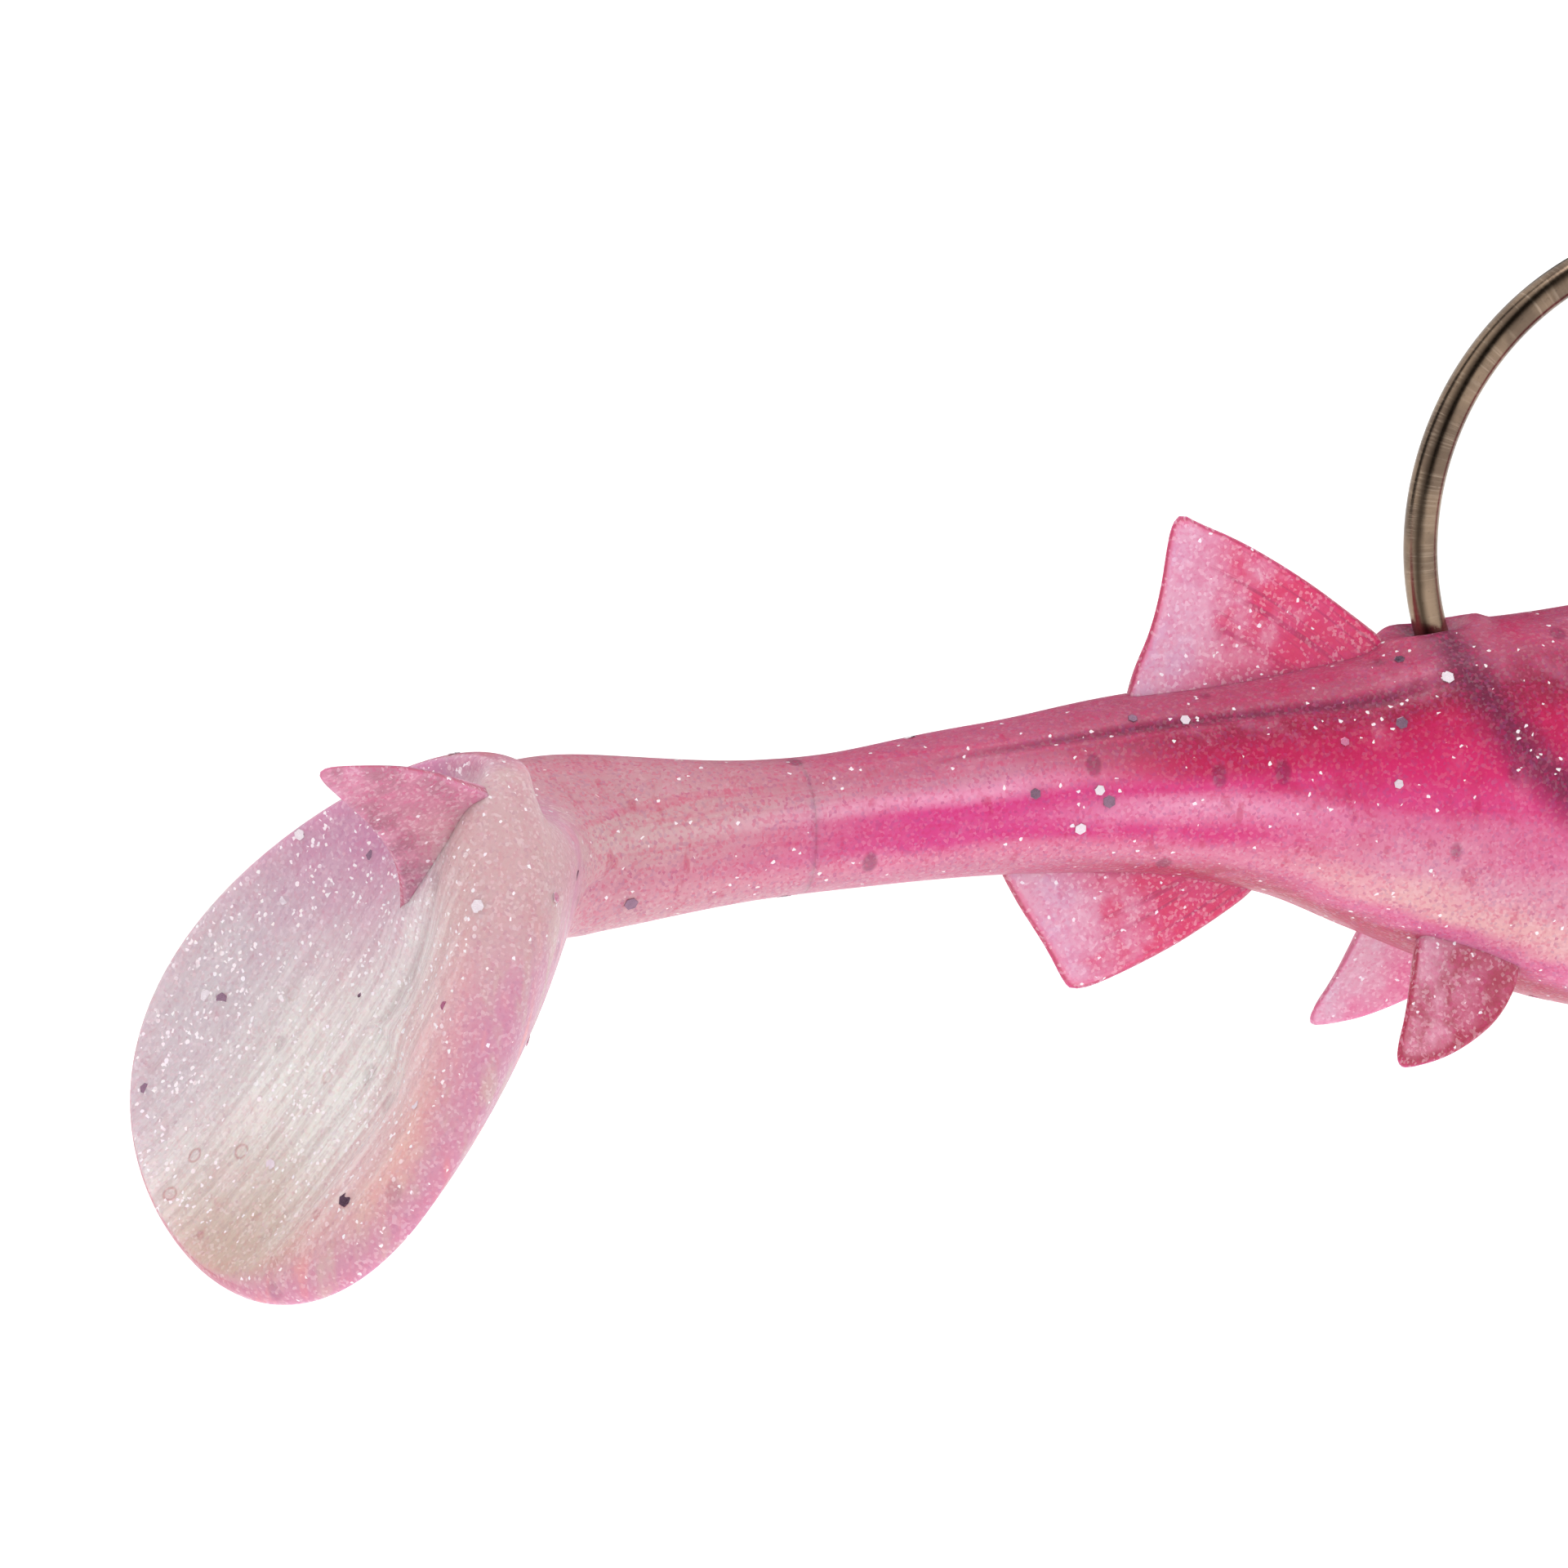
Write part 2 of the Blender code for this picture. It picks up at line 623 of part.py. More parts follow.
def make_eye(side, home, foil_surface, dome_surface):
    radius = EYE_DIAMETER / 2
    foil_inner = EYE_SOCKET_FLOOR + EYE_GAP
    foil_outer = foil_inner + FOIL_THICKNESS
    eye_disc(f"eye_foil_{side_name(side)}", side, radius, foil_inner, foil_outer, home, foil_surface)
    name = f"eye_dome_{side_name(side)}"
    data = bpy.data.meshes.new(name)
    steps = np.linspace(math.pi / 2, 0, 7)
    rim = [(radius * math.cos(a), 0, DOME_HEIGHT * (0.25 + 0.75 * math.sin(a))) for a in steps]
    rim.append((radius, 0, 0))
    rim.append((0, 0, 0))
    rim[0] = (0, 0, DOME_HEIGHT)
    data.from_pydata(rim, [(i, i + 1) for i in range(len(rim) - 1)], [])
    dome = add_object(name, data, home, dome_surface)
    spin = dome.modifiers.new("turned", "SCREW")
    spin.steps = spin.render_steps = 28
    spin.use_merge_vertices = True
    spin.merge_threshold = 0.00001
    spin.use_smooth_shade = True
    dome.location = (-EYE_BACK, side * (foil_outer + EYE_GAP), EYE_RISE - AXIS_DROP)
    dome.rotation_euler = (-side * math.pi / 2, 0, 0)


def main():
    clear_scene()
    home = collection("rigged_paddle_tail_jig")
    cutters = collection("cutters")
    flesh = material("pink_soft_plastic", (0.62, 0.16, 0.34), 0.32)
    clear = material("clear_soft_plastic", (0.72, 0.55, 0.60), 0.30)
    fin = material("pink_fin_plastic", (0.66, 0.30, 0.48), 0.34)
    wire = material("black_nickel_wire", (0.16, 0.13, 0.11), 0.28, 1.0)
    lead = material("cast_lead", (0.28, 0.28, 0.30), 0.55, 1.0)
    foil = material("eye_foil", (0.80, 0.78, 0.70), 0.22, 1.0)
    dome = material("eye_resin", (0.90, 0.90, 0.88), 0.05)
    make_lead(home, cutters, lead)
    make_hook(home, cutters, wire)
    make_forebody(home, cutters, flesh)
    make_stem(home, flesh)
    make_paddle(home, clear)
    make_upper_lobe(home, clear)
    make_middle_fin("dorsal_fin", DORSAL_FRONT, DORSAL_LENGTH, DORSAL_HEIGHT, DORSAL_SHAPE,
                    True, home, fin)
    make_middle_fin("anal_fin", ANAL_FRONT, ANAL_LENGTH, ANAL_HEIGHT, ANAL_SHAPE,
                    False, home, fin)
    for side in (1, -1):
        make_paired_fin(f"pelvic_fin_{side_name(side)}", PELVIC_SHAPE, PELVIC_FRONT, PELVIC_ROOT,
                        PELVIC_SPAN, PELVIC_LOW, PELVIC_SPLAY, side, home, fin)
        make_paired_fin(f"pectoral_fin_{side_name(side)}", PECTORAL_SHAPE, PECTORAL_FRONT,
                        PECTORAL_ROOT, PECTORAL_SPAN, PECTORAL_LOW, PECTORAL_SPLAY, side, home, fin)
        make_eye(side, home, foil, dome)


main()
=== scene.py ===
from math import cos, pi, radians, sin

import bpy
import numpy as np
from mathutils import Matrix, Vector


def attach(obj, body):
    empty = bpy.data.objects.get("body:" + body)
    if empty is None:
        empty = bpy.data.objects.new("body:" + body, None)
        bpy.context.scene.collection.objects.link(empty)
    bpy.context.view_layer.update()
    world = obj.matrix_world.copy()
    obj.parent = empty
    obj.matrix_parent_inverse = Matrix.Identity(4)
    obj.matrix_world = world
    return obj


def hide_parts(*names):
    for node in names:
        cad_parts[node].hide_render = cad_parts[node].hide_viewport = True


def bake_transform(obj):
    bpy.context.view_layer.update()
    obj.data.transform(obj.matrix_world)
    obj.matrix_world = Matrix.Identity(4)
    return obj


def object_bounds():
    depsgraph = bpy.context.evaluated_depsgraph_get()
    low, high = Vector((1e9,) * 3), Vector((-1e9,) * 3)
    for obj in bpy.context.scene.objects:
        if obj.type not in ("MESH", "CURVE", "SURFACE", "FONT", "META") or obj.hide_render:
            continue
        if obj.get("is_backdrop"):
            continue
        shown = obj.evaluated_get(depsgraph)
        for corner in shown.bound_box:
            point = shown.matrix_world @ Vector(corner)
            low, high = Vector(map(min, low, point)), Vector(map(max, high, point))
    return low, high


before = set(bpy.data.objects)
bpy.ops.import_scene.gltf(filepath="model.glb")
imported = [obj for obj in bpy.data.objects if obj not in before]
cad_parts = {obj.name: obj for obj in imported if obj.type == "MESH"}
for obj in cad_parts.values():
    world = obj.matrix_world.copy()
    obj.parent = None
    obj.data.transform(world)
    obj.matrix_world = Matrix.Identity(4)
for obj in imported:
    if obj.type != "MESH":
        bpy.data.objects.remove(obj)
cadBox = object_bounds()

# Lengths below are in millimetres until a mesh is made.
body = dict(
    noseX=5.5,
    seamX=-65.5,  # where the front skin meets the tail skin, on the stem
    wristX=-73.5, length=79.0, depth=16.6, width=11.4, axisZ=-7.0026,
    power=2.2,  # 2 is an ellipse, more is squarer
    stations=np.array([  # share from nose to wrist, then height, depth and half width as shares
        (0.010, 0.085, 0.095, 0.130), (0.040, 0.175, 0.170, 0.235), (0.082, 0.265, 0.253, 0.320),
        (0.146, 0.361, 0.349, 0.400), (0.222, 0.445, 0.434, 0.460), (0.323, 0.500, 0.494, 0.490),
        (0.424, 0.496, 0.482, 0.480), (0.542, 0.451, 0.383, 0.425), (0.603, 0.430, 0.270, 0.385),
        (0.640, 0.380, 0.193, 0.350), (0.684, 0.352, 0.102, 0.312), (0.747, 0.322, 0.045, 0.262),
        (0.811, 0.283, 0.033, 0.220), (0.904, 0.235, 0.048, 0.190), (1.000, 0.245, 0.105, 0.200),
    ]),
)
stemZ = body["axisZ"] + 0.07 * body["depth"]


def ease(start, end, value):
    # 3t^2 - 2t^3 from 0 at start to 1 at end, of arrays or of shader values
    if isinstance(value, Value):
        inputs = {"Value": value, "From Min": start, "From Max": end}
        return value.shade.make("MapRange", dict(interpolation_type="SMOOTHSTEP"), inputs)
    t = np.clip((value - start) / (end - start), 0, 1)
    return t * t * (3 - 2 * t)


def bell(value, width):
    # exp(-(value / width)^2)
    return np.exp(-((value / width) ** 2))


def unit(v):
    return v / np.maximum(np.linalg.norm(v, axis=-1, keepdims=True), 1e-12)


def throughStations(places, values, at):
    # cubic through the stations, each slope the harmonic mean of the two beside it
    steps = np.diff(places)
    slopes = np.diff(values) / steps
    same = slopes[1:] * slopes[:-1] > 0
    total = np.where(same, slopes[1:] + slopes[:-1], 1)
    inner = np.where(same, 2 * slopes[1:] * slopes[:-1] / total, 0)
    tangents = np.concatenate([slopes[:1], inner, slopes[-1:]])
    i = np.clip(np.searchsorted(places, at) - 1, 0, len(steps) - 1)
    t = (at - places[i]) / steps[i]
    return (
        values[i] * (2 * t**3 - 3 * t**2 + 1) + values[i + 1] * (3 * t**2 - 2 * t**3)
        + tangents[i] * steps[i] * (t**3 - 2 * t**2 + t)
        + tangents[i + 1] * steps[i] * (t**3 - t**2)
    )


def bodyExtent(x):
    # top, bottom and half width at x; ahead of the first station they close in as a square root
    share = (body["noseX"] - np.asarray(x, float)) / body["length"]
    first = body["stations"][0, 0]
    close = np.sqrt(np.clip(share / first, 0, 1))
    table = body["stations"]
    up, down, side = (throughStations(table[:, 0], table[:, k], np.clip(share, first, 1)) for k in (1, 2, 3))
    high = close * body["depth"]
    return body["axisZ"] + up * high, body["axisZ"] - down * high, side * close * body["width"]


def turns(count):
    return np.arange(count) * 2 * pi / count


def turnCurve(turn, power):
    # a superellipse's cosine and sine: sign(c)|c|^(2/power), sign(s)|s|^(2/power)
    c, s = np.cos(turn), np.sin(turn)
    return np.sign(c) * np.abs(c) ** (2 / power), np.sign(s) * np.abs(s) ** (2 / power)


def spread(shape, *values):
    # one vector at each point of a grid of that shape
    return np.stack([np.broadcast_to(v, shape) for v in values], -1)


def gridNormals(grid):
    # cross product of neighbour differences, facing away from each ring's middle
    along = np.gradient(grid, axis=0)
    normal = unit(np.cross(along, np.roll(grid, -1, 1) - np.roll(grid, 1, 1)))
    away = grid - grid.mean(axis=1, keepdims=True)
    sign = np.sign((normal * away).sum(-1).sum(1))[:, None, None]
    return normal * np.where(sign == 0, 1, sign)


def addObject(name, data):
    thing = bpy.data.objects.new(name, data)
    bpy.context.scene.collection.objects.link(thing)
    return thing


def addMesh(name, points, faces, material, attributes, sharp=55):
    # points in millimetres, faces as arrays of quads or triangles, turned outward by the volume's sign
    loops = np.concatenate([f.ravel() for f in faces])
    sizes = np.concatenate([np.full(len(f), f.shape[1]) for f in faces])
    corner = np.concatenate([f[:, :3] for f in faces] + [f[:, [0, 2, 3]] for f in faces if f.shape[1] == 4])
    a, b, c = (points[corner[:, k]] for k in range(3))
    starts = np.concatenate([[0], np.cumsum(sizes)[:-1]])
    if (np.cross(a, b) * c).sum() < 0:
        loops = np.concatenate([f[:, ::-1].ravel() for f in faces])
    data = bpy.data.meshes.new(name)
    data.vertices.add(len(points))
    data.vertices.foreach_set("co", (points * 0.001).astype(np.float32).ravel())
    data.loops.add(len(loops))
    data.loops.foreach_set("vertex_index", loops.astype(np.int32))
    data.polygons.add(len(sizes))
    data.polygons.foreach_set("loop_start", starts.astype(np.int32))
    data.update(calc_edges=True)
    for key, values in attributes.items():
        layer = data.attributes.new(key, "FLOAT_VECTOR", "POINT")
        layer.data.foreach_set("vector", values.astype(np.float32).ravel())
    data.shade_smooth()
    data.set_sharp_from_angle(angle=radians(sharp))
    data.materials.append(material)
    return addObject(name, data)


def gridFaces(rows, columns):
    # quads between neighbouring rows, closed around the columns
    i = np.arange(rows - 1)[:, None] * columns
    j = np.arange(columns)[None, :]
    k = (j + 1) % columns
    return np.stack([i + j, i + k, i + columns + k, i + columns + j], -1).reshape(-1, 4)


def closedGrid(name, grid, material, attributes, startPole=None, endPole=None, sharp=55):
    # rings joined in order, and each end ring fanned to its pole
    rows, columns = grid.shape[:2]
    ends = ((grid[0], startPole), (grid[-1], endPole))
    poles = [ring.mean(0) if pole is None else pole for ring, pole in ends]
    points = np.vstack([grid.reshape(-1, 3), poles])
    j = np.arange(columns)
    k = (j + 1) % columns
    last = (rows - 1) * columns
    start = np.stack([np.full(columns, rows * columns), k, j], -1)
    end = np.stack([np.full(columns, rows * columns + 1), last + j, last + k], -1)
    filled = {}
    for key, values in dict(attributes, place=grid).items():
        filled[key] = np.vstack([values.reshape(-1, 3), values[0].mean(0), values[-1].mean(0)])
    return addMesh(name, points, [gridFaces(rows, columns), start, end], material, filled, sharp)


class Value:
    # a node's output, so that sums and products read as ordinary expressions
    def __init__(self, shade, socket):
        self.shade, self.socket = shade, socket

    def sum(self, kind, *others):
        return self.shade.make("Math", dict(operation=kind), dict(enumerate([self, *others])))

    def __add__(self, other): return self.sum("ADD", other)
    def __sub__(self, other): return self.sum("SUBTRACT", other)
    def __mul__(self, other): return self.sum("MULTIPLY", other)
    def __pow__(self, other): return self.sum("POWER", other)
    def __radd__(self, other): return self + other
    def __rmul__(self, other): return self * other
    def __neg__(self): return self * -1.0
    def __rsub__(self, other): return -self + other
    def above(self, other): return self.sum("GREATER_THAN", other)
    def size(self): return self.sum("ABSOLUTE")


class Shade:
    # the nodes of one material or world: make() adds any node
    def __init__(self, name, palette=None, world=None, **constants):
        self.material = world or bpy.data.materials.new(name)
        self.material.use_nodes = True
        self.palette, self.color, self.tree = palette, None, self.material.node_tree
        self.surface = self.tree.nodes.get("Principled BSDF") or self.tree.nodes["Background"]
        for key, value in constants.items():
            self.surface.inputs[key.replace("_", " ")].default_value = value

    def make(self, kind, settings, inputs, out=0):
        node = self.tree.nodes.new("ShaderNode" + kind)
        for key, value in settings.items():
            if key == "stops":
                self.setStops(node.color_ramp, value)
            else:
                setattr(node, key, value)
        for key, value in inputs.items():
            if isinstance(value, Value):
                self.tree.links.new(value.socket, node.inputs[key])
            else:
                node.inputs[key].default_value = value
        return Value(self, node.outputs[out])

    def setStops(self, band, stops):
        band.interpolation = "EASE"
        while len(band.elements) < len(stops):
            band.elements.new(0.5)
        for element, (place, color) in zip(band.elements, stops):
            element.position, element.color = place, color

    def attribute(self, name):
        return self.make("Attribute", dict(attribute_name=name), {}, "Vector")

    def tone(self, color):
        # a name in the piece's own dictionary or an 8-bit colour, as linear light
        color = self.palette[color] if isinstance(color, str) else color
        return tint(*color) if isinstance(color, tuple) and len(color) == 3 else color

    def paint(self, share, second):
        # lays another colour over the colour so far, where share is 1
        self.color = mix(share, self.color, second)

    def finish(self, roughness=None, height=None, bump=1.0, distance=0.00002):
        for key, value in (("Base Color", self.color), ("Roughness", roughness)):
            if value is not None:
                self.tree.links.new(value.socket, self.surface.inputs[key])
        if height is not None:
            normal = self.make("Bump", {}, {"Strength": bump, "Distance": distance, "Height": height})
            self.tree.links.new(normal.socket, self.surface.inputs["Normal"])
        return self.material


def parts(vector):
    node = vector.shade.make("SeparateXYZ", {}, {0: vector}).socket.node
    return [Value(vector.shade, s) for s in node.outputs]


def vector(x, y, z):
    return x.shade.make("CombineXYZ", {}, {0: x, 1: y, 2: z})


def stretch(vector, x, y, z):
    return vector.shade.make("VectorMath", dict(operation="MULTIPLY"), {0: vector, 1: (x, y, z)})


def noise(vector, scale, detail=3.0, roughness=0.55):
    inputs = {"Vector": vector, "Scale": scale, "Detail": detail, "Roughness": roughness}
    return vector.shade.make("TexNoise", {}, inputs)


def cells(vector, scale):
    # distance to the nearest cell centre, and that cell's three random numbers
    distance = vector.shade.make("TexVoronoi", {}, {"Vector": vector, "Scale": scale}, "Distance")
    return distance, parts(Value(vector.shade, distance.socket.node.outputs["Color"]))


def near(value, centre, width):
    # 1 at the centre, easing to 0 at the width on both sides
    return 1 - ease(0.0, width, (value - centre).size())


def ramp(value, stops):
    stops = [(place, value.shade.tone(color)) for place, color in stops]
    return value.shade.make("ValToRGB", dict(stops=stops), {0: value})


def mix(share, first, second):
    inputs = {0: share, 6: share.shade.tone(first), 7: share.shade.tone(second)}
    return share.shade.make("Mix", dict(data_type="RGBA", clamp_factor=True), inputs, 2)


def tint(red, green, blue):
    # an 8-bit colour as linear light: ((c + 0.055) / 1.055)^2.4 above a short straight foot
    share = np.array([red, green, blue]) / 255
    linear = np.where(share > 0.04045, ((share + 0.055) / 1.055) ** 2.4, share / 12.92)
    return (*[float(v) for v in linear], 1.0)


plastic = dict(
    topRose=(176, 78, 108), darkRose=(150, 30, 68), crimson=(186, 22, 80), hotPink=(208, 34, 104),
    magenta=(214, 64, 130), lilac=(216, 116, 156), paleLilac=(218, 148, 172), peach=(226, 172, 176),
    edgeRose=(172, 62, 86), paleTop=(188, 96, 126), paleRose=(202, 132, 156), stemPink=(214, 66, 138),
    stemPale=(230, 152, 186), stemLow=(218, 132, 162), wristGrey=(206, 174, 174), soleWhite=(216, 205, 203),
    soleBright=(236, 231, 227), soleClear=(202, 184, 194), soleLilac=(202, 136, 172),
    solePeach=(198, 168, 152), rimPink=(226, 152, 160), rimPeach=(232, 180, 164), rimLilac=(206, 148, 172),
    edgeCrimson=(186, 70, 96), sparkle=(255, 246, 250), hookShade=(104, 26, 64), bubble=(196, 138, 136),
    violet=(150, 84, 140),
    grain=9.5,  # glitter dust cells per mm
)


def plasticShade(name):
    p = plastic
    shade = Shade(name, plastic, Subsurface_Weight=0.55, Subsurface_Radius=(1.0, 0.45, 0.6),
                  Subsurface_Scale=0.0012, Specular_IOR_Level=0.2, IOR=1.47, Coat_Weight=0.12, Coat_Roughness=0.14)
    paint = shade.paint
    place = shade.attribute("place")
    down, tail, sole = parts(shade.attribute("skin"))
    across, along, rim = parts(shade.attribute("sole"))
    x, y, z = parts(place)

    # long colour runs: vertical ramps for the thick front, the middle and the stem, and a grey wrist; the darker ends
    # of each ramp at the top and the bottom are painted shade along the silhouette edges
    drift = noise(stretch(place, 0.12, 0.5, 0.5), 1.0, 2.0)
    shifted = down + (drift - 0.5) * 0.18
    front = ramp(shifted, [
        (0.06, "topRose"), (0.15, "darkRose"), (0.24, "crimson"), (0.35, "hotPink"),
        (0.46, "magenta"), (0.57, "lilac"), (0.69, "paleLilac"), (0.82, "peach"), (0.9, "lilac"), (0.95, "edgeRose")])
    # the pale band part way down the middle and the stem ramps is a painted highlight; the same pale colour is also
    # used below as real pale mottling
    middle = ramp(shifted, [
        (0.06, "topRose"), (0.16, "darkRose"), (0.3, "crimson"), (0.42, "magenta"),
        (0.53, "stemPale"), (0.68, "magenta"), (0.84, "stemLow"), (0.95, "edgeRose")])
    stem = ramp(shifted, [
        (0.12, "paleTop"), (0.24, "paleRose"), (0.34, "stemPale"), (0.44, "stemPink"),
        (0.64, "stemPink"), (0.78, "stemLow"), (0.92, "paleRose"), (1.0, "paleTop")])
    shade.color = mix(ease(-44.0, -51.0, x), front, middle)
    paint(ease(-51.0, -60.0, x), stem)
    greyed = (0.85 - ease(0.4, 0.8, down) * 0.35) * (ease(0.0, 0.3, down) * 0.4 + 0.6)
    paint(ease(-61.0, -72.0, x) * greyed, "wristGrey")

    # the paddle: whitish sole, lilac above, peach below, a soft pink band along the thick side
    wall = ramp(noise(stretch(place, 1.0, 1.0, 0.3), 0.9, 3.0), [
        (0.3, "wristGrey"), (0.5, "rimLilac"), (0.72, "rimPink")])
    paint(tail, wall)
    cloudy = noise(place, 0.7, 4.0, 0.6) - 0.5
    upper = ease(2.5, -6.5, along + cloudy * 4.0) * ease(-2.5, 4.0, across + cloudy * 3.0)
    lower = ease(3.0, 9.5, along + cloudy * 4.0) * ease(4.5, -1.5, across)
    streak = noise(vector(across * 2.6, along * 0.16, across * 0.0), 1.0, 5.0, 0.68)
    foot = mix(ease(0.4, 0.6, streak), "soleWhite", "soleBright")
    foot = mix(ease(1.5, 6.5, across) * 0.75, foot, "soleClear")
    foot = mix(upper * 0.95, foot, "soleLilac")
    foot = mix(lower * 0.85, foot, "solePeach")
    inner = ease(-0.5, -4.0, across + along * 0.16 + (streak - 0.5) * 5.0)
    foot = mix(inner * 0.45, foot, "rimPink")
    band = ease(1.4, -0.9, across + 4.9 + along * 0.16 + cloudy * 1.6)
    edge = mix(ease(-6.0, 4.0, along + cloudy * 5.0), "rimPink", "rimPeach")
    edge = mix(ease(3.0, 8.0, along) * 0.9, edge, "solePeach")
    foot = mix(band * 0.85, foot, edge)
    knob = ease(5.6, 2.0, ((across + 3.4) ** 2.0 + ((along + 9.4) * 0.8) ** 2.0) ** 0.5 + cloudy * 2.5)
    foot = mix(ease(-8.0, -9.6, along) * ease(-1.0, 1.5, across) * 0.8, foot, "rimLilac")
    paint(sole, foot)
    paint(knob * 0.85, "wristGrey")
    thin = ease(-2.5, 1.0, across + along * 0.2)
    paint(near(rim, 0.99, 0.03) * tail * (thin * 0.5 + 0.05), "edgeCrimson")

    # mottling at three sizes, weaker on the pale paddle
    pale = ease(0.0, 0.6, tail + sole)
    strength = 1 - pale * 0.75
    high = ease(0.78, 0.45, down)
    cloud = noise(place, 0.55, 4.0, 0.6)
    paint(ease(0.54, 0.78, cloud) * 0.3 * strength, "stemPale")
    paint(ease(0.5, 0.28, cloud) * 0.5 * strength * high * ease(-62.0, -48.0, x), "crimson")
    lines = noise(vector(x * 0.1, shifted * 14.0, y * 0.2), 1.0, 3.0)
    paint(ease(0.52, 0.7, lines) * 0.3 * (1 - tail) * high, "hotPink")
    blot = noise(stretch(place, 1.6, 1.0, 0.8), 1.0, 3.0)
    paint(ease(0.6, 0.72, blot) * 0.4 * strength, "crimson")

    # painted shade: the dark shadow of the wire inside, showing dimly through the flank, and painted shade in the
    # groove along the back
    wireX = x + 31.8
    ring = (wireX * wireX + (z - 3.0) * (z - 3.0)) ** 0.5
    wireShadow = near(ring + cloudy * 0.9, 10.6, 1.45) * ease(-29.0, -34.0, x) * ease(0.66, 0.4, down)
    paint(wireShadow * 0.85, "hookShade")
    creaseShade = near(down, 0.115, 0.035) * ease(-42.0, -45.0, x) * ease(-64.0, -52.0, x)
    paint(creaseShade * 0.7, "hookShade")

    # sunken flakes as soft dark spots, bubbles low on the sole, then glitter dust cell by cell: white glitter, with
    # its brightest cells painted glints
    spotSpace = stretch(place, 1.25, 1.0, 0.8)
    spotFar, spotRandom = cells(spotSpace, 0.38)
    spot = (1 - ease(0.1, 0.17, spotFar)) * spotRandom[0].above(0.45)
    paint(spot * (0.5 - pale * 0.3), "hookShade")
    bubbleFar, bubbleRandom = cells(place, 0.68)
    bubble = near(bubbleFar, 0.17, 0.05) * bubbleRandom[1].above(0.25) * sole * ease(1.0, 4.0, along + across * 0.3)
    paint(bubble * 0.55, "bubble")
    dustFar, dust = cells(place, p["grain"])
    paint(ease(0.6, 1.0, dust[0]) * (0.12 + pale * 0.12) * (1 - high * strength * 0.45), "sparkle")
    paint(ease(0.45, 0.0, dust[1]) * 0.34 * (1 - pale * 0.7), "hotPink")
    paint(ease(0.7, 1.0, dust[2]) * 0.25 * (1 - pale * 0.5), "violet")
    patch = ease(0.38, 0.6, noise(place, 0.9, 3.0)) * (1 - lower) * sole
    glintFar, glint = cells(place, 4.6)
    glints = glint[0].above(0.93) * (1 - glintFar.above(0.42)) * patch
    bright = dust[0].above(0.994 - patch * 0.05).sum("MAXIMUM", glints)
    paint(bright * 0.85, "sparkle")

    # bump: grain, soft waves, bubbles, and fine ridges down the sole
    ridges = noise(vector(across * 4.0, along * 0.25, across * 0.0), 1.0, 3.0, 0.7)
    waves = cloud * 2.0 + ridges * sole * 4.5 + noise(place, 2.2, 4.0) * 1.2
    height = dust[1] * 0.5 - dustFar * 0.6 + bubble * 1.5 + waves
    roughness = noise(place, 1.1, 4.0) * 0.25 + 0.26 - bright * 0.2
    return shade.finish(roughness, height, 0.8, 0.00003)


head = dict(
    eyeX=-3.0, eyeZ=body["axisZ"] + 1.3, socketRadius=2.38, socketFloor=3.3,
    gillRadius=7.8, gillDepth=0.38, mouthDrop=1.5, mouthDepth=0.42, mouthEnd=-1.2,
    wireExitX=-41.95, notchDepth=0.6, lipHeight=0.17, rings=430, around=156,
)


def headRelief(x, y, z, down):
    # raised and sunk features in mm along the normal: grooves are bells across their lines
    h = head
    away = np.hypot(x - h["eyeX"], z - h["eyeZ"])
    behind = np.arctan2(z - h["eyeZ"], h["eyeX"] - x)
    gill = ease(1.15, 0.85, np.abs(behind + 0.25))
    relief = -h["gillDepth"] * bell(away - h["gillRadius"], 0.28) * gill
    relief += 0.24 * ease(5.6, 7.6, away) * ease(h["gillRadius"], h["gillRadius"] - 0.2, away) * gill
    relief -= 0.16 * bell(away - 5.3, 0.22) * ease(0.95, 0.7, np.abs(behind + 0.45))
    relief += 0.18 * bell(away - 2.75, 0.28)
    mouthZ = body["axisZ"] - h["mouthDrop"] - 0.16 * (body["noseX"] - x)
    mouth = ease(h["mouthEnd"] - 0.6, h["mouthEnd"] + 0.4, x)
    relief -= h["mouthDepth"] * bell(z - mouthZ, 0.2) * mouth
    relief += 0.14 * (bell(z - mouthZ - 0.55, 0.3) + bell(z - mouthZ + 0.55, 0.3)) * mouth
    relief -= 0.3 * bell(np.hypot(x - 2.7, z - body["axisZ"] - 1.5), 0.28)
    side = ease(-9.5, -12.0, x) * ease(-42.0, -34.0, x)
    relief -= 0.09 * bell((down - 0.47) * 14, 0.32) * side * (1 + 0.5 * np.sin(x * 4.2))
    relief -= 0.1 * bell(down - 0.12, 0.022) * ease(-20.0, -30.0, x) * ease(-63.0, -56.0, x)
    relief += 0.05 * bell(y, 0.16) * ease(0.0, -12.0, x)
    for holeX, long, lip in ((0.0, 1.0, 0.14), (h["wireExitX"], 1.35, h["lipHeight"])):
        gone = np.hypot((x - holeX) / long, y)
        round_ = np.arctan2(y, x - holeX)
        torn = 1 + 0.3 * np.sin(3 * round_ + 1) + 0.2 * np.sin(5 * round_ + 2.1)
        mound = lip * torn * bell(gone - 1.25, 0.36) - h["notchDepth"] * bell(gone, 0.62)
        relief += mound * (down < 0.4)
    return relief + 0.03 * np.sin(x * 0.7 + z * 0.9) * np.sin(z * 1.3 + y * 0.8 + 1)


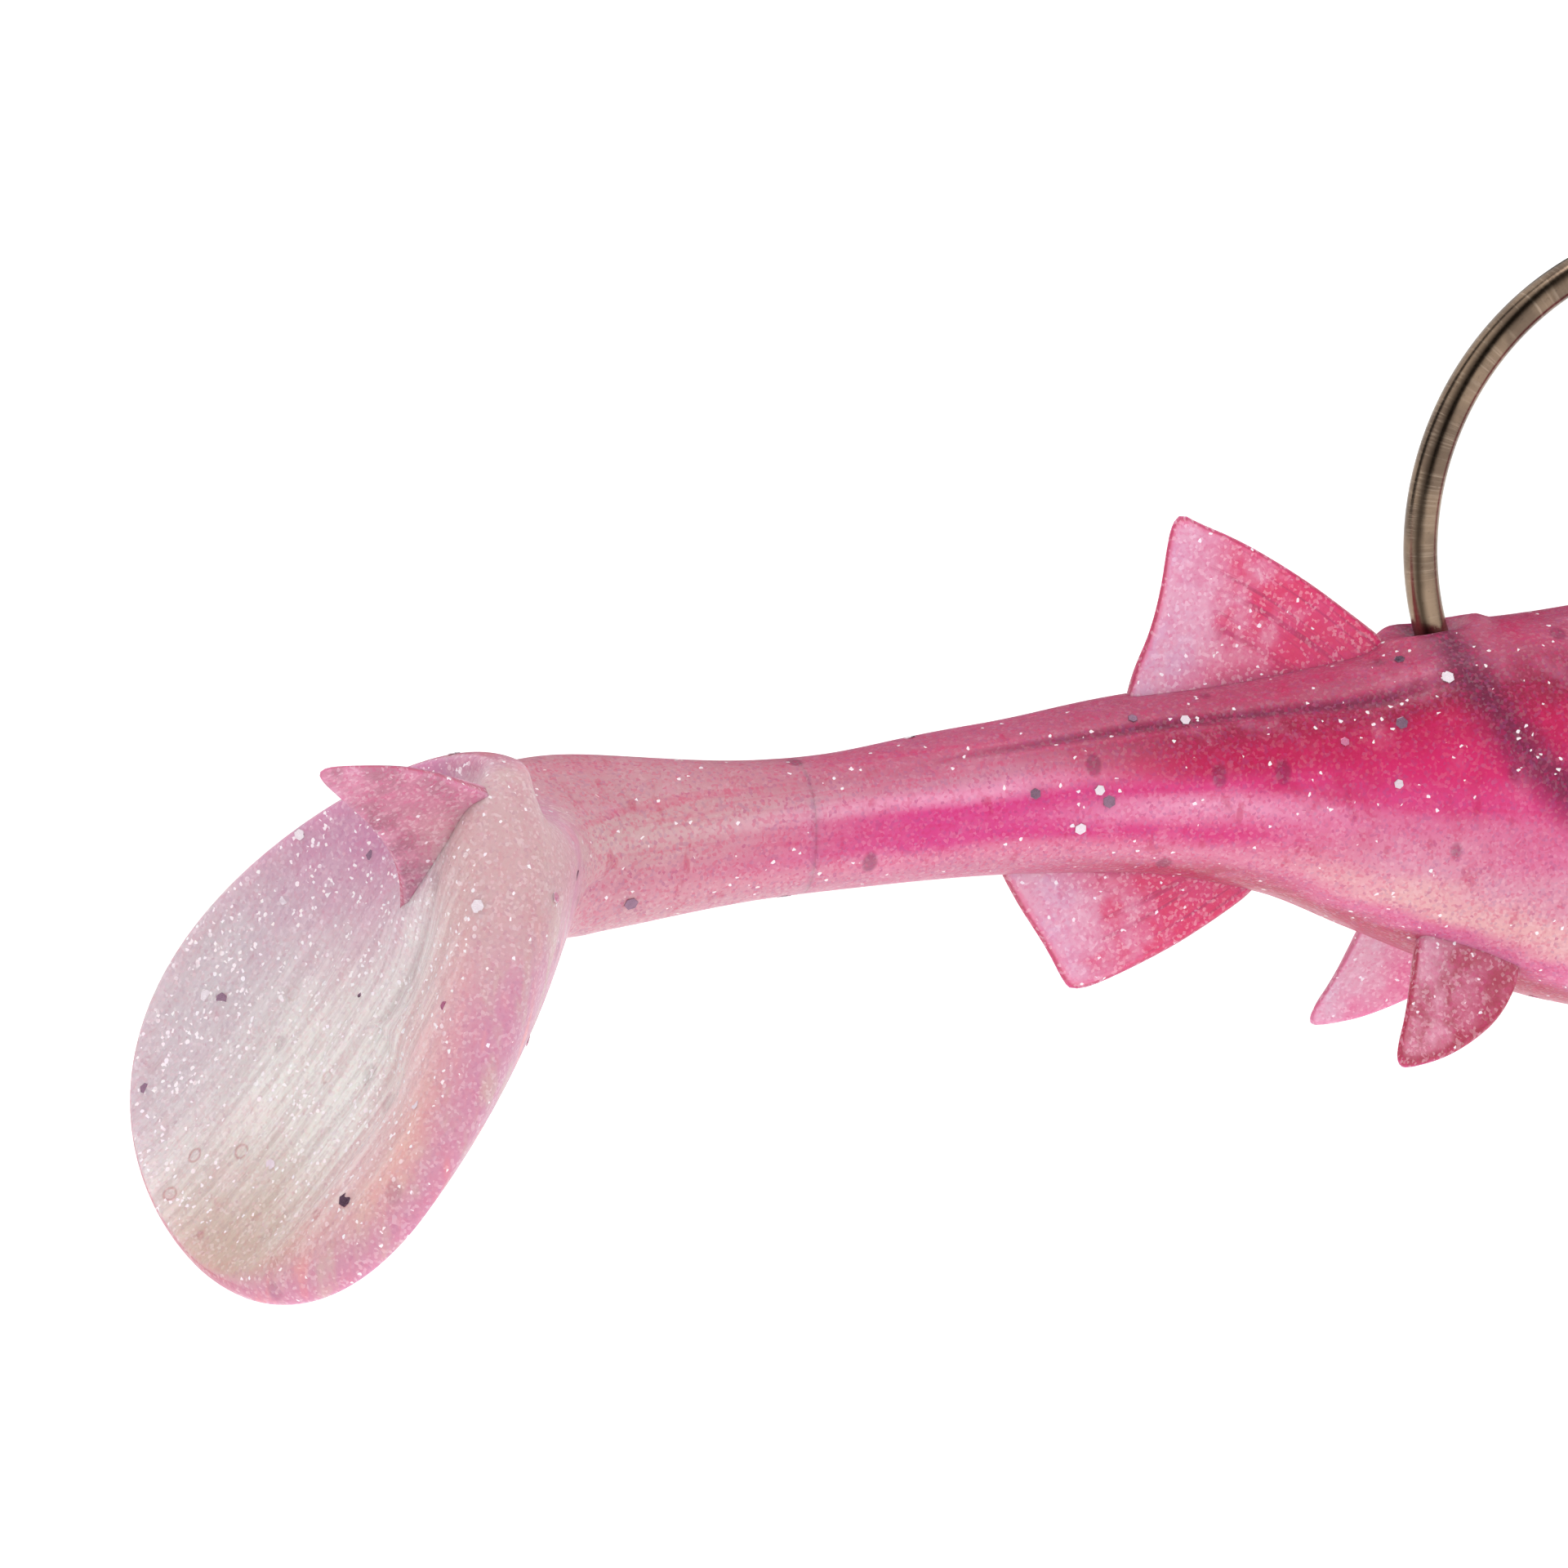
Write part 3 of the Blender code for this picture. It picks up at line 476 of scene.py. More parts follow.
def frontGrid():
    # rings of the body's section at x, then pushed along the normal by the relief; the eye sockets limit |y|
    h = head
    tip = body["noseX"] - 0.79 * (np.linspace(0.08, 1, 14) ** 2)
    xs = np.concatenate([tip, np.linspace(tip[-1], body["seamX"], h["rings"])[1:]])
    turn = turns(h["around"])
    c, s = turnCurve(turn, body["power"])
    top, bottom, half = bodyExtent(xs)
    x = np.repeat(xs[:, None], h["around"], 1)
    y = half[:, None] * c
    z = ((top + bottom) / 2)[:, None] + ((top - bottom) / 2)[:, None] * s
    grid = np.stack([x, y, z], -1)
    down = np.repeat(((1 - s) / 2)[None], len(xs), 0)
    fade = ease(body["seamX"], body["seamX"] + 2.5, x)
    grid = grid + gridNormals(grid) * (headRelief(x, y, z, down) * fade)[..., None]
    away = np.hypot(grid[..., 0] - h["eyeX"], grid[..., 2] - h["eyeZ"])
    limit = h["socketFloor"] + 3.0 * ease(h["socketRadius"] - 0.12, h["socketRadius"] + 0.28, away)
    grid[..., 1] = np.clip(grid[..., 1], -limit, limit)
    return grid, down


def sunkenEnd(ring, inward):
    # two rings that step in from an end ring, so that its cap lies inside the next skin
    middle = ring.mean(0)
    return np.stack([middle + (ring - middle) * 0.9 + inward * 0.35, middle + (ring - middle) * 0.4 + inward * 0.5])


plasticMaterial = plasticShade("pinkGlitterPlastic")
grid, down = frontGrid()
caps = sunkenEnd(grid[-1], np.array([-1.0, 0, 0]))
full = np.concatenate([grid, caps])
fullDown = np.concatenate([down, down[-2:]])
soft = dict(skin=spread(fullDown.shape, fullDown, 0, 0), sole=np.zeros(full.shape))
skinFront = closedGrid("skinFront", full, plasticMaterial, soft, np.array([body["noseX"], 0, body["axisZ"]]))
frontPlaces, frontNormals = grid, gridNormals(grid)
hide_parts("forebody", "tail_stem")
print("front skin made")


paddle = dict(
    long=20.5, wide=16.2, tilt=radians(23.5), roll=radians(24), turn=radians(26), back=10.7, low=4.1,
    flare=1.5, fullness=0.72, egg=0.3, nearSide=0.86, farSide=1.05, rimThickness=0.9, hollow=1.3,
    wristEnd=-75.25, thinLip=0.5, thickLip=2.4, cornerLip=1.4, cornerRounds=900,
    stemRings=64, loftRings=140, soleRings=130, around=180,
)


def soleFrame():
    # the sole's middle, the ways down the foot and across it, and its normal, before the turn
    p = paddle
    middle = np.array([body["wristX"] - p["back"], 0, stemZ - p["low"]])
    upright = np.array([-sin(p["tilt"]), 0, -cos(p["tilt"])])
    normal = np.array([-cos(p["tilt"]), 0, sin(p["tilt"])])
    left = np.array([0.0, 1, 0])
    down = upright * cos(p["roll"]) + left * sin(p["roll"])
    across = left * cos(p["roll"]) - upright * sin(p["roll"])
    return middle, down, across, normal


def soleRing(turn, scale, depth):
    # an egg: across = cos(t)(1 + egg * along), along = -sin(t), sunk by depth along the normal
    p = paddle
    middle, down, side, normal = soleFrame()
    along = -np.sin(turn) * scale
    across = np.cos(turn) * scale * (1 + p["egg"] * along)
    across = across * np.where(across < 0, p["nearSide"], p["farSide"])
    flat = np.stack([across * p["wide"] / 2, along * p["long"] / 2], -1)
    return middle + np.outer(flat[:, 1], down) + np.outer(flat[:, 0], side) - depth * normal, flat


def nearSide(turn):
    # 1 along the thick near side and top of the rim, 0 round the thin far side and the toe
    degrees = np.degrees(turn)
    return ease(78, 122, degrees) * ease(268, 222, degrees)


def wristCorner(turn):
    # 1 where the stem runs round a soft corner on to the sole
    degrees = np.degrees(turn)
    return ease(84, 112, degrees) * ease(196, 164, degrees)


def lipWidth(turn):
    # thin all round, more on the near side, most at the wrist's corner
    p = paddle
    return p["thinLip"] + (p["thickLip"] - p["thinLip"]) * nearSide(turn) + p["cornerLip"] * wristCorner(turn)


def soleHeight(turn, flat, far):
    # a lip rounded as a quarter ellipse, then the hollow; a swelling from the wrist; fine ridges down the foot
    p = paddle
    across, along = flat[:, 0], flat[:, 1]
    wide = lipWidth(turn)
    inward = far * np.hypot(across, along) / max(1 - far, 1e-3)
    rounded = p["rimThickness"] * (1 - np.sqrt(np.clip(1 - (1 - np.clip(inward / wide, 0, 1)) ** 2, 0, 1)))
    filled = bell(across + 3.6, 3.4) * bell(along + 7.8, 4.8)
    hollow = p["hollow"] * (1 - (1 - far) ** 2) * ease(0.3, 2.2, inward / wide) * (1 - 0.85 * filled)
    swelling = 1.15 * bell(across + 2.6, 2.8) * bell(along + 8.2, 4.2) * ease(0.0, 0.9, inward)
    fine = 0.05 * np.sin(across * 3.1 + 0.5 * np.sin(along * 0.4))
    fine += 0.035 * np.sin(across * 7.3 + 1 + 0.4 * np.sin(along * 0.7))
    fine = fine * ease(6.5, 3.0, across) * ease(0.5, 2.5, inward) * ease(-9.0, -3.0, along)
    web = 0.8 * bell(across + 0.9 - 0.293 * (along + 8.9), 1.3) * ease(-1.0, -5.0, along) * ease(0.0, 1.0, inward)
    return swelling + web - rounded - hollow + fine


def tailTurned(points, share):
    # turned about the wrist's upright line by the share of the relaxed tail's turn
    angle = paddle["turn"] * share
    c, s = np.cos(angle), np.sin(angle)
    x, y = points[..., 0] - body["wristX"], points[..., 1]
    return np.stack([body["wristX"] + c * x - s * y, s * x + c * y, points[..., 2]], -1)


def tailGrid():
    # body sections, then a loft from the wrist's oval to the egg as share^flare, or as share(2 - share) where
    # it bulges on the near side, a rounded lip, and the sunk sole
    p = paddle
    turn = turns(p["around"])
    degrees = np.degrees(turn)
    down = (1 - np.sin(turn)) / 2
    rings, turned, skins, soles = [], [], [], []
    for x in np.linspace(body["seamX"], p["wristEnd"], p["stemRings"]):
        top, bottom, half = bodyExtent(max(x, body["wristX"]))
        share = ease(body["seamX"], body["wristX"], x)
        c, s = turnCurve(turn, body["power"] + (2 - body["power"]) * share)
        ridge = ease(-66.5, -74.5, x)
        y = half * c + ridge * 0.8 * bell(degrees - 62, 34)
        lean = 0.45 * bell(degrees - 72, 32) - 0.75 * bell(degrees - 130, 34)
        z = (top + bottom) / 2 + (top - bottom) / 2 * s + ridge * lean
        rings.append(spread(turn.shape, x, y, z))
        turned.append(ease(-71.2, -76.2, x))
        skins.append(spread(turn.shape, (1 - s) / 2, 0, 0))
        soles.append(spread(turn.shape, 0, 0, 0))
    wrist = rings[-1]
    full = p["fullness"] * ease(96, 142, degrees) * ease(232, 196, degrees)
    rimRing, rimFlat = soleRing(turn, 1.0, p["rimThickness"])
    for share in np.linspace(0, 1, p["loftRings"] + 1)[1:]:
        opened = ((1 - full) * share ** p["flare"] + full * share * (2 - share))[:, None]
        shape = (1 - opened) * (wrist - wrist.mean(0)) + opened * (rimRing - rimRing.mean(0))
        rings.append(wrist.mean(0) + share * (rimRing - wrist).mean(0) + shape)
        turned.append(ease(-71.2, -76.2, p["wristEnd"] - share * p["back"]))
        tail = ease(0.0, 0.35, share)
        skins.append(spread(turn.shape, down, tail, 0))
        soles.append(spread(turn.shape, *(rimFlat * opened).T, share * 0.9))
    for far in 1 - np.cos(np.linspace(0, pi / 2, p["soleRings"] + 1)[1:-1]):
        ring, flat = soleRing(turn, 1 - far, 0.0)
        rings.append(ring + soleHeight(turn, flat, far)[:, None] * soleFrame()[3])
        turned.append(1.0)
        sole = ease(0.0, 1.0, far * np.hypot(*rimFlat.T) / lipWidth(turn))
        skins.append(spread(turn.shape, down, 1, sole))
        soles.append(spread(turn.shape, *flat.T, 0.9 + 0.1 * (1 - far) if far < 0.03 else 1 - far))
    grid = tailTurned(np.stack(rings), np.array(turned)[:, None])
    # the corner rounded: points move halfway to their neighbours' mean along the tail, many times
    rim = p["stemRings"] + p["loftRings"] - 1
    row = np.arange(len(grid))[:, None]
    share = ease(p["stemRings"] - 24, p["stemRings"], row) * ease(rim + 85, rim + 50, row)
    share = share * wristCorner(turn)
    for _ in range(p["cornerRounds"]):
        grid[1:-1] += 0.5 * share[1:-1, :, None] * ((grid[2:] + grid[:-2]) / 2 - grid[1:-1])
    return grid, np.stack(skins), np.stack(soles)


grid, skins, soles = tailGrid()
caps = sunkenEnd(grid[0], np.array([1.0, 0, 0]))[::-1]
full = np.concatenate([caps, grid])
soft = dict(skin=np.concatenate([skins[:2], skins]), sole=np.concatenate([soles[:2], soles]))
skinTail = closedGrid("skinTail", full, plasticMaterial, soft)
tailPlaces, tailNormals = grid, gridNormals(grid)
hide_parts("tail_paddle")
print("tail skin made")


fins = dict(
    frost=(230, 204, 218), magenta=(212, 54, 130), sparkle=(255, 242, 250),
    rootHalf=0.42, edgeHalf=0.13, sunk=0.55, rows=70, columns=26,
)
rootShare = np.linspace(0.01, 0.99, fins["rows"])


def finShade(name, base, hot, edge, root, hotShare=0.95, rimWide=0.22, rootReach=0.2, streaks=0.0):
    # frosted base, a hot front with streaks, darker towards outline and root, dust over all: white glitter, with its
    # brightest cells painted glints
    shade = Shade(name, fins, Subsurface_Weight=0.5, Subsurface_Radius=(1.0, 0.5, 0.7), Subsurface_Scale=0.0008,
                  IOR=1.47, Coat_Weight=0.2, Coat_Roughness=0.2)
    paint = shade.paint
    place = shade.attribute("place")
    along, out, rim = parts(shade.attribute("blade"))
    cloud = noise(place, 0.8, 4.0, 0.6)
    fine = noise(place, 3.5, 3.0)
    shade.color = mix(ease(0.35, 0.65, cloud) * 0.7, base, "frost")
    ahead = ease(0.76, 0.38, along + out * 0.16 + (cloud - 0.5) * 0.7)
    paint(ahead * hotShare, hot)
    ray = noise(vector(along * 1.4, rim * 3.2, along * 0.0), 1.0, 3.0)
    paint(ease(0.5, 0.62, ray) * ahead * streaks, root)
    paint(ease(0.55, 0.72, cloud + fine * 0.3) * 0.3, "magenta")
    paint(ease(rimWide * 2.2, 0.1, rim + (fine - 0.5) * 0.4) * 0.5, hot)
    paint(ease(rimWide, rimWide * 0.35, rim) * 0.85, edge)
    paint(ease(rootReach * 2.0, rootReach * 0.5, out + (fine - 0.5) * 0.2) * 0.5, hot)
    paint(ease(rootReach, 0.02, out) * 0.8, root)
    dustFar, dust = cells(place, plastic["grain"])
    paint(ease(0.6, 1.0, dust[0]) * 0.24, "sparkle")
    paint(ease(0.45, 0.0, dust[1]) * 0.26, "magenta")
    bright = dust[0].above(0.992)
    paint(bright * 0.85, "sparkle")
    height = dust[1] * 0.5 - dustFar * 0.6 + fine * 1.5 + ray * 1.2
    return shade.finish(fine * 0.25 + 0.28 - bright * 0.2, height, 0.8, 0.00003)


def placed(origin, along, up):
    # local x along one way, local y as near another as it can be, local z their cross product
    x = unit(np.asarray(along, float))
    z = unit(np.cross(x, up))
    return np.asarray(origin, float), np.stack([x, np.cross(z, x), z])


def lengthAlong(points):
    return np.concatenate([[0], np.cumsum(np.linalg.norm(np.diff(points, axis=0), axis=1))])


def readAt(points, far, at):
    return np.stack([np.interp(at, far, column) for column in points.T], -1)


def onPlane(origin, axes, x, y):
    return origin + np.outer(x, axes[0]) + np.outer(y, axes[1])


def softOutline(shape, count):
    # corners rounded by cutting each twice, then points spaced evenly by length
    line = np.array(shape, float)
    for _ in range(2):
        cut = np.stack([line[:-1] * 0.75 + line[1:] * 0.25, line[:-1] * 0.25 + line[1:] * 0.75], 1).reshape(-1, 2)
        line = np.vstack([line[:1], cut, line[-1:]])
    far = lengthAlong(line)
    at = np.linspace(0, far[-1], count + 2)[1:-1]
    return readAt(line, far, at)


def bladePiece(name, outline, root, normal, material, flare=0.32, flareReach=0.75):
    # root(q) to outline(q) as t goes 0 to 1, each face half a thickness off, thinning to the edge
    f = fins
    rows = len(outline)
    t = np.linspace(0, 1, f["columns"]) ** 0.9
    q = (np.arange(rows) + 1) / (rows + 1)
    reach = np.linalg.norm(outline - root, axis=1)
    middle = root[:, None] + (outline - root)[:, None] * t[None, :, None]
    deep = reach[:, None] * t[None]
    half = f["edgeHalf"] + (f["rootHalf"] - f["edgeHalf"]) * np.exp(-deep / 1.6)
    half += flare * np.sin(pi * q)[:, None] * bell(deep, flareReach)
    left = reach[:, None] * (1 - t[None])
    half = half * np.sqrt(np.clip(left / 0.22, 0, 1)) * np.clip(np.sin(pi * q) * 5, 0, 1)[:, None] ** 0.5
    half = half + 0.02 * np.sin(q * 60)[:, None] * t[None] * (1 - t[None]) * 2
    one = middle + normal * half[..., None]
    two = middle - normal * half[..., None]
    grid = np.concatenate([one, two[:, ::-1]], 1)
    blade = spread(left.shape, q[:, None], t, left)
    blade = np.concatenate([blade, blade[:, ::-1]], 1)
    ends = [(outline[0] + root[0]) / 2, (outline[-1] + root[-1]) / 2]
    return closedGrid(name, grid, material, dict(blade=blade), ends[0], ends[1], sharp=70)


def middleFin(name, front, length, height, shape, up, material):
    # an outline on the middle plane, its root sunk a little under the back or the belly
    side = 1 if up else -1
    edge = 0 if up else 1
    x = body["noseX"] - front - np.array([0, length])
    ends = np.stack([x, 0 * x, bodyExtent(x)[edge] + side * 0.3], -1)
    origin = ends[0] - np.array([0, 0, side * 0.15])
    origin, axes = placed(origin, ends[1] - ends[0], (0, 0, side))
    flat = softOutline(shape, fins["rows"])
    outline = onPlane(origin, axes, flat[:, 0] * length, flat[:, 1] * height + 0.15)
    rootX = body["noseX"] - front - rootShare * length
    root = np.stack([rootX, 0 * rootX, bodyExtent(rootX)[edge] - side * fins["sunk"]], -1)
    return bladePiece(name, outline, root, axes[2], material)


def pairedFin(name, side, material, shape, front, long, span, low, splay):
    # an outline on the plane that leaves the flank at the given share down it, splayed from upright
    x = body["noseX"] - front
    out = np.array([0, side * sin(splay), -cos(splay)])
    ends = []
    for place in (x, x - long):
        top, bottom, half = bodyExtent(place)
        reach = (1 - low ** body["power"]) ** (1 / body["power"])
        ends.append(np.array([place, side * half * reach, (top + bottom) / 2 - (top - bottom) / 2 * low]))
    origin, axes = placed(ends[0] + out * 0.6, ends[1] - ends[0], out)
    flat = softOutline(shape, fins["rows"])
    outline = onPlane(origin, axes, flat[:, 0] * long, flat[:, 1] * span)
    root = onPlane(origin, axes, rootShare * long, 0 * rootShare - 1.25)
    return bladePiece(name, outline, root, axes[2], material)


dorsalShape = ((0.0, -0.1), (0.02, -0.01), (0.06, 0.06), (0.1, 0.13), (0.27, 0.42), (0.49, 0.73), (0.66, 0.91),
               (0.71, 0.98), (0.75, 0.92), (0.78, 0.78), (0.82, 0.55), (0.88, 0.31), (0.96, 0.1), (1.0, -0.06))
analShape = ((0.0, -0.12), (0.05, 0.02), (0.16, 0.24), (0.32, 0.52), (0.57, 0.86), (0.66, 0.93),
             (0.7, 0.9), (0.79, 0.57), (0.92, 0.2), (1.0, -0.08))
pelvicShape = ((0.0, 0.0), (0.1, 0.35), (0.45, 0.75), (0.82, 0.98), (0.93, 1.0),
               (0.98, 0.88), (0.96, 0.6), (0.98, 0.25), (1.0, 0.0))
pectoralShape = ((0.0, 0.0), (0.2, 0.3), (0.75, 0.72), (1.28, 0.97), (1.4, 1.0),
                 (1.42, 0.88), (1.28, 0.6), (1.02, 0.22), (0.95, 0.0))
lobeShape = ((0.0, 0.05), (-0.04, 0.3), (-0.05, 0.6), (0.06, 0.92), (0.12, 1.0), (0.19, 0.97),
             (0.3, 0.78), (0.41, 0.58), (0.54, 0.39), (0.7, 0.23), (0.88, 0.11), (1.05, 0.02))

finMaterial = finShade(
    "frostedFinPlastic", (214, 160, 192), (214, 36, 100), (172, 36, 80), (150, 30, 84), streaks=0.55)
# the pelvic fins are one plastic: the right fin's material is a shaded copy, painted darker with a broad dark rim,
# and the left fin's a lit copy, painted paler
shadedPelvicMaterial = finShade(
    "shadedPelvicFinPlastic", (178, 80, 106), (170, 40, 74), (158, 34, 66), (162, 50, 80), hotShare=0.7, rimWide=0.6)
litPelvicMaterial = finShade(
    "litPelvicFinPlastic", (214, 178, 198), (226, 92, 150), (198, 110, 140), (214, 90, 140), hotShare=0.7)
lobeMaterial = finShade(
    "frostedLobePlastic", (162, 108, 130), (194, 126, 148), (180, 84, 112), (220, 184, 186),
    hotShare=0.4, rimWide=0.12, rootReach=0.6)

made = [
    (middleFin("dorsalFin", 49.1, 9.8, 5.8, dorsalShape, True, finMaterial), "dorsal", "dorsal_fin"),
    (middleFin("analFin", 53.9, 9.6, 3.9, analShape, False, finMaterial), "anal", "anal_fin"),
]
pairs = dict(
    pelvic=dict(shape=pelvicShape, front=45.2, long=4.0, span=4.2, low=0.88, splay=radians(22)),
    pectoral=dict(shape=pectoralShape, front=20.0, long=2.6, span=7.0, low=0.5, splay=radians(48)),
)
for side, word in ((1, "left"), (-1, "right")):
    for kind, sizes in pairs.items():
        material = finMaterial if kind == "pectoral" else litPelvicMaterial if side > 0 else shadedPelvicMaterial
        piece = pairedFin(kind + "Fin" + word.title(), side, material, **sizes)
        made.append((piece, kind + "_" + word, kind + "_fin_" + word))


def upperLobe():
    # the small lobe that stands on the sole in line with the foot, its root sunk in the sole
    middle, down, across, normal = soleFrame()
    long, high, top = 5.7, 7.6, 1.1 - paddle["long"] / 2
    ends = []
    for place, aside in ((top, -0.5), (top + long, 1.2)):
        sunk = paddle["hollow"] * (1 - (2 * place / paddle["long"]) ** 2)
        ends.append(middle + down * place + across * aside - normal * (sunk - 0.3))
    origin, axes = placed(ends[0], ends[1] - ends[0], normal)
    flat = softOutline(lobeShape, fins["rows"])
    outline = onPlane(origin, axes, flat[:, 0] * long, flat[:, 1] * high)
    root = onPlane(origin, axes, rootShare * long, 0 * rootShare - 0.8)
    wrist = np.array([body["wristX"], 0, 0])
    outline, root = tailTurned(outline, 1.0), tailTurned(root, 1.0)
    return bladePiece("upperLobe", outline, root, tailTurned(wrist + axes[2], 1.0) - wrist, lobeMaterial, 0.75, 1.3)


made.append((upperLobe(), "upper_lobe", "tail_upper_lobe"))
for piece, bodyName, node in made:
    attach(piece, bodyName)
    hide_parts(node)
    "soft_clear" if bodyName == "upper_lobe" else "soft_fin"
print("fins made")


flakes = dict(
    radius=0.235, thick=0.035, front=110, tail=34, seed=11,
    white=(238, 230, 234), dark=(104, 72, 96), pink=(206, 96, 140), haze=(190, 150, 175),
)


def flakeShade():
    shade = Shade("flakeFoil", flakes, Metallic=0.85, Coat_Weight=0.4, Coat_Roughness=0.1)
    paint = shade.paint
    pick, tone, _ = parts(shade.attribute("flake"))
    # one foil in three tones: the white flakes are painted glints and the dark ones painted shade, as flakes turned
    # to and from the light
    shade.color = mix(pick.above(0.42), "dark", "pink")
    paint(pick.above(0.62), "white")
    fine = noise(shade.attribute("place"), 6.0, 3.0)
    paint(fine * 0.4 + tone * 0.2, "haze")
    return shade.finish(fine * 0.2 + 0.18, fine, 0.4, 0.00001)


def flakePiece(name, places, normals, count, random):
    # hexagonal plates: a bevelled prism copied to chosen points, each tilted a little
    turn = np.arange(6) * pi / 3
    ring = np.stack([np.cos(turn), np.sin(turn)], -1)
    layers = [(0.92, 1.0), (1.0, 0.6), (1.0, -1.0)]
    wide, half = flakes["radius"], flakes["thick"] / 2
    shape = [np.column_stack([ring * s * wide, np.full(6, h * half)]) for s, h in layers]
    shape = np.vstack([*shape, [0, 0, half], [0, 0, -half]])
    j = np.arange(6)
    k = (j + 1) % 6
    sides = np.concatenate([np.stack([a + j, b + j, b + k, a + k], -1) for a, b in ((0, 6), (6, 12))])
    ends = ((18, j, k), (19, 12 + k, 12 + j))
    fans = np.concatenate([np.stack([np.full(6, centre), a, b], -1) for centre, a, b in ends])
    up = unit(normals + random.normal(0, 0.07, normals.shape))
    x = unit(np.cross(up, random.normal(0, 1, normals.shape)))
    y = np.cross(up, x)
    size = random.uniform(0.7, 1.1, count)[:, None, None]
    local = shape[None] * size
    points = ((places + normals * 0.012)[:, None] + local @ np.stack([x, y, up], 1)).reshape(-1, 3)
    shift = (np.arange(count) * len(shape))[:, None, None]
    flake = np.repeat(random.uniform(0, 1, (count, 1, 3)), len(shape), 1)
    faces = [(sides[None] + shift).reshape(-1, 4), (fans[None] + shift).reshape(-1, 3)]
    return addMesh(name, points, faces, flakeMaterial, dict(place=points, flake=flake.reshape(-1, 3)), sharp=20)


flakeMaterial = flakeShade()
random = np.random.default_rng(flakes["seed"])
row = random.integers(30, len(frontPlaces) - 20, flakes["front"])
column = random.integers(0, frontPlaces.shape[1], flakes["front"])
spot = frontPlaces[row, column]
top, bottom, _ = bodyExtent(spot[:, 0])
clear = np.hypot(spot[:, 0] - head["eyeX"], spot[:, 2] - head["eyeZ"]) > 3.4
clear &= (spot[:, 0] > -38.5) | (spot[:, 2] > bottom + 0.24 * (top - bottom))  # none by the lower fins' roots
row, column = row[clear], column[clear]
flakesFront = flakePiece("flakesFront", frontPlaces[row, column], frontNormals[row, column], len(row), random)
row = random.integers(4, len(tailPlaces) - 8, flakes["tail"])
column = random.integers(0, tailPlaces.shape[1], flakes["tail"])
flakesTail = flakePiece("flakesTail", tailPlaces[row, column], tailNormals[row, column], len(row), random)
print("glitter flakes made")

for piece in (skinFront, flakesFront):
    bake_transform(piece)
for piece in (skinTail, flakesTail):
    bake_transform(piece)


hook = dict(
    wire=1.2, ring=1.55, legBend=2.4, shankZ=body["axisZ"] - 0.5, bendMiddle=-31.8, bendRadius=10.5,
    pointLeg=10.0, pointDrop=0.8, taper=3.2, barbLong=1.8, barbBack=4.6, around=40, step=0.16,
    bronze=(150, 128, 108), dark=(74, 62, 56), worn=(196, 176, 156), line=(46, 36, 28),
)


def arcPoints(centre, radius, start, end, count):
    a = np.radians(np.linspace(start, end, count))
    return np.stack([centre[0] + radius * np.cos(a), 0 * a, centre[1] + radius * np.sin(a)], -1)


def evenPath(points, step):
    # the same line with points one step apart, and the distance of each along it
    far = lengthAlong(points)
    at = np.linspace(0, far[-1], int(far[-1] / step) + 1)
    return readAt(points, far, at), at


def softPath(points, rounds):
    # each inner point moved halfway to its neighbours' mean, again and again
    for _ in range(rounds):
        points = np.vstack([points[:1], points[1:-1] / 2 + (points[2:] + points[:-2]) / 4, points[-1:]])
    return points


def wireGrid(points, radii, around, flat=1.0):
    # circles of the given radius square to the path, which lies in the hook's plane
    tangent = unit(np.gradient(points, axis=0))
    side = np.array([0.0, 1, 0])
    out = np.cross(tangent, side)
    turn = turns(around)
    c, s = np.cos(turn), np.sin(turn)
    r = radii[:, None, None]
    return points[:, None] + r * (c[None, :, None] * out[:, None] + s[None, :, None] * side * flat)


def hookShade():
    # dark nickel over steel: fine cross scratches, soft dull patches, paler worn spots
    shade = Shade("darkNickelWire", hook, Metallic=1.0)
    paint = shade.paint
    along, turn, share = parts(shade.attribute("wire"))
    place = shade.attribute("place")
    cross = noise(vector(along * 9.0, turn * 0.6, along * 0.0), 1.0, 4.0, 0.7)
    patch = noise(place, 0.5, 3.0)
    fine = noise(place, 9.0, 3.0)
    shade.color = mix(ease(0.35, 0.65, patch) * 0.6, "bronze", "dark")
    paint(ease(0.5, 0.72, cross) * 0.45, "worn")
    paint(ease(0.62, 0.72, fine) * 0.4, "dark")
    # a painted dark reflection: a darker streak along each outer shoulder of the wire
    darkReflection = near((share - 0.5).size() + (patch - 0.5) * 0.06, 0.338, 0.075)
    paint(darkReflection * 0.85, "line")
    return shade.finish(cross * 0.16 + 0.12 + patch * 0.06, cross + fine * 0.3, 0.35, 0.00001)


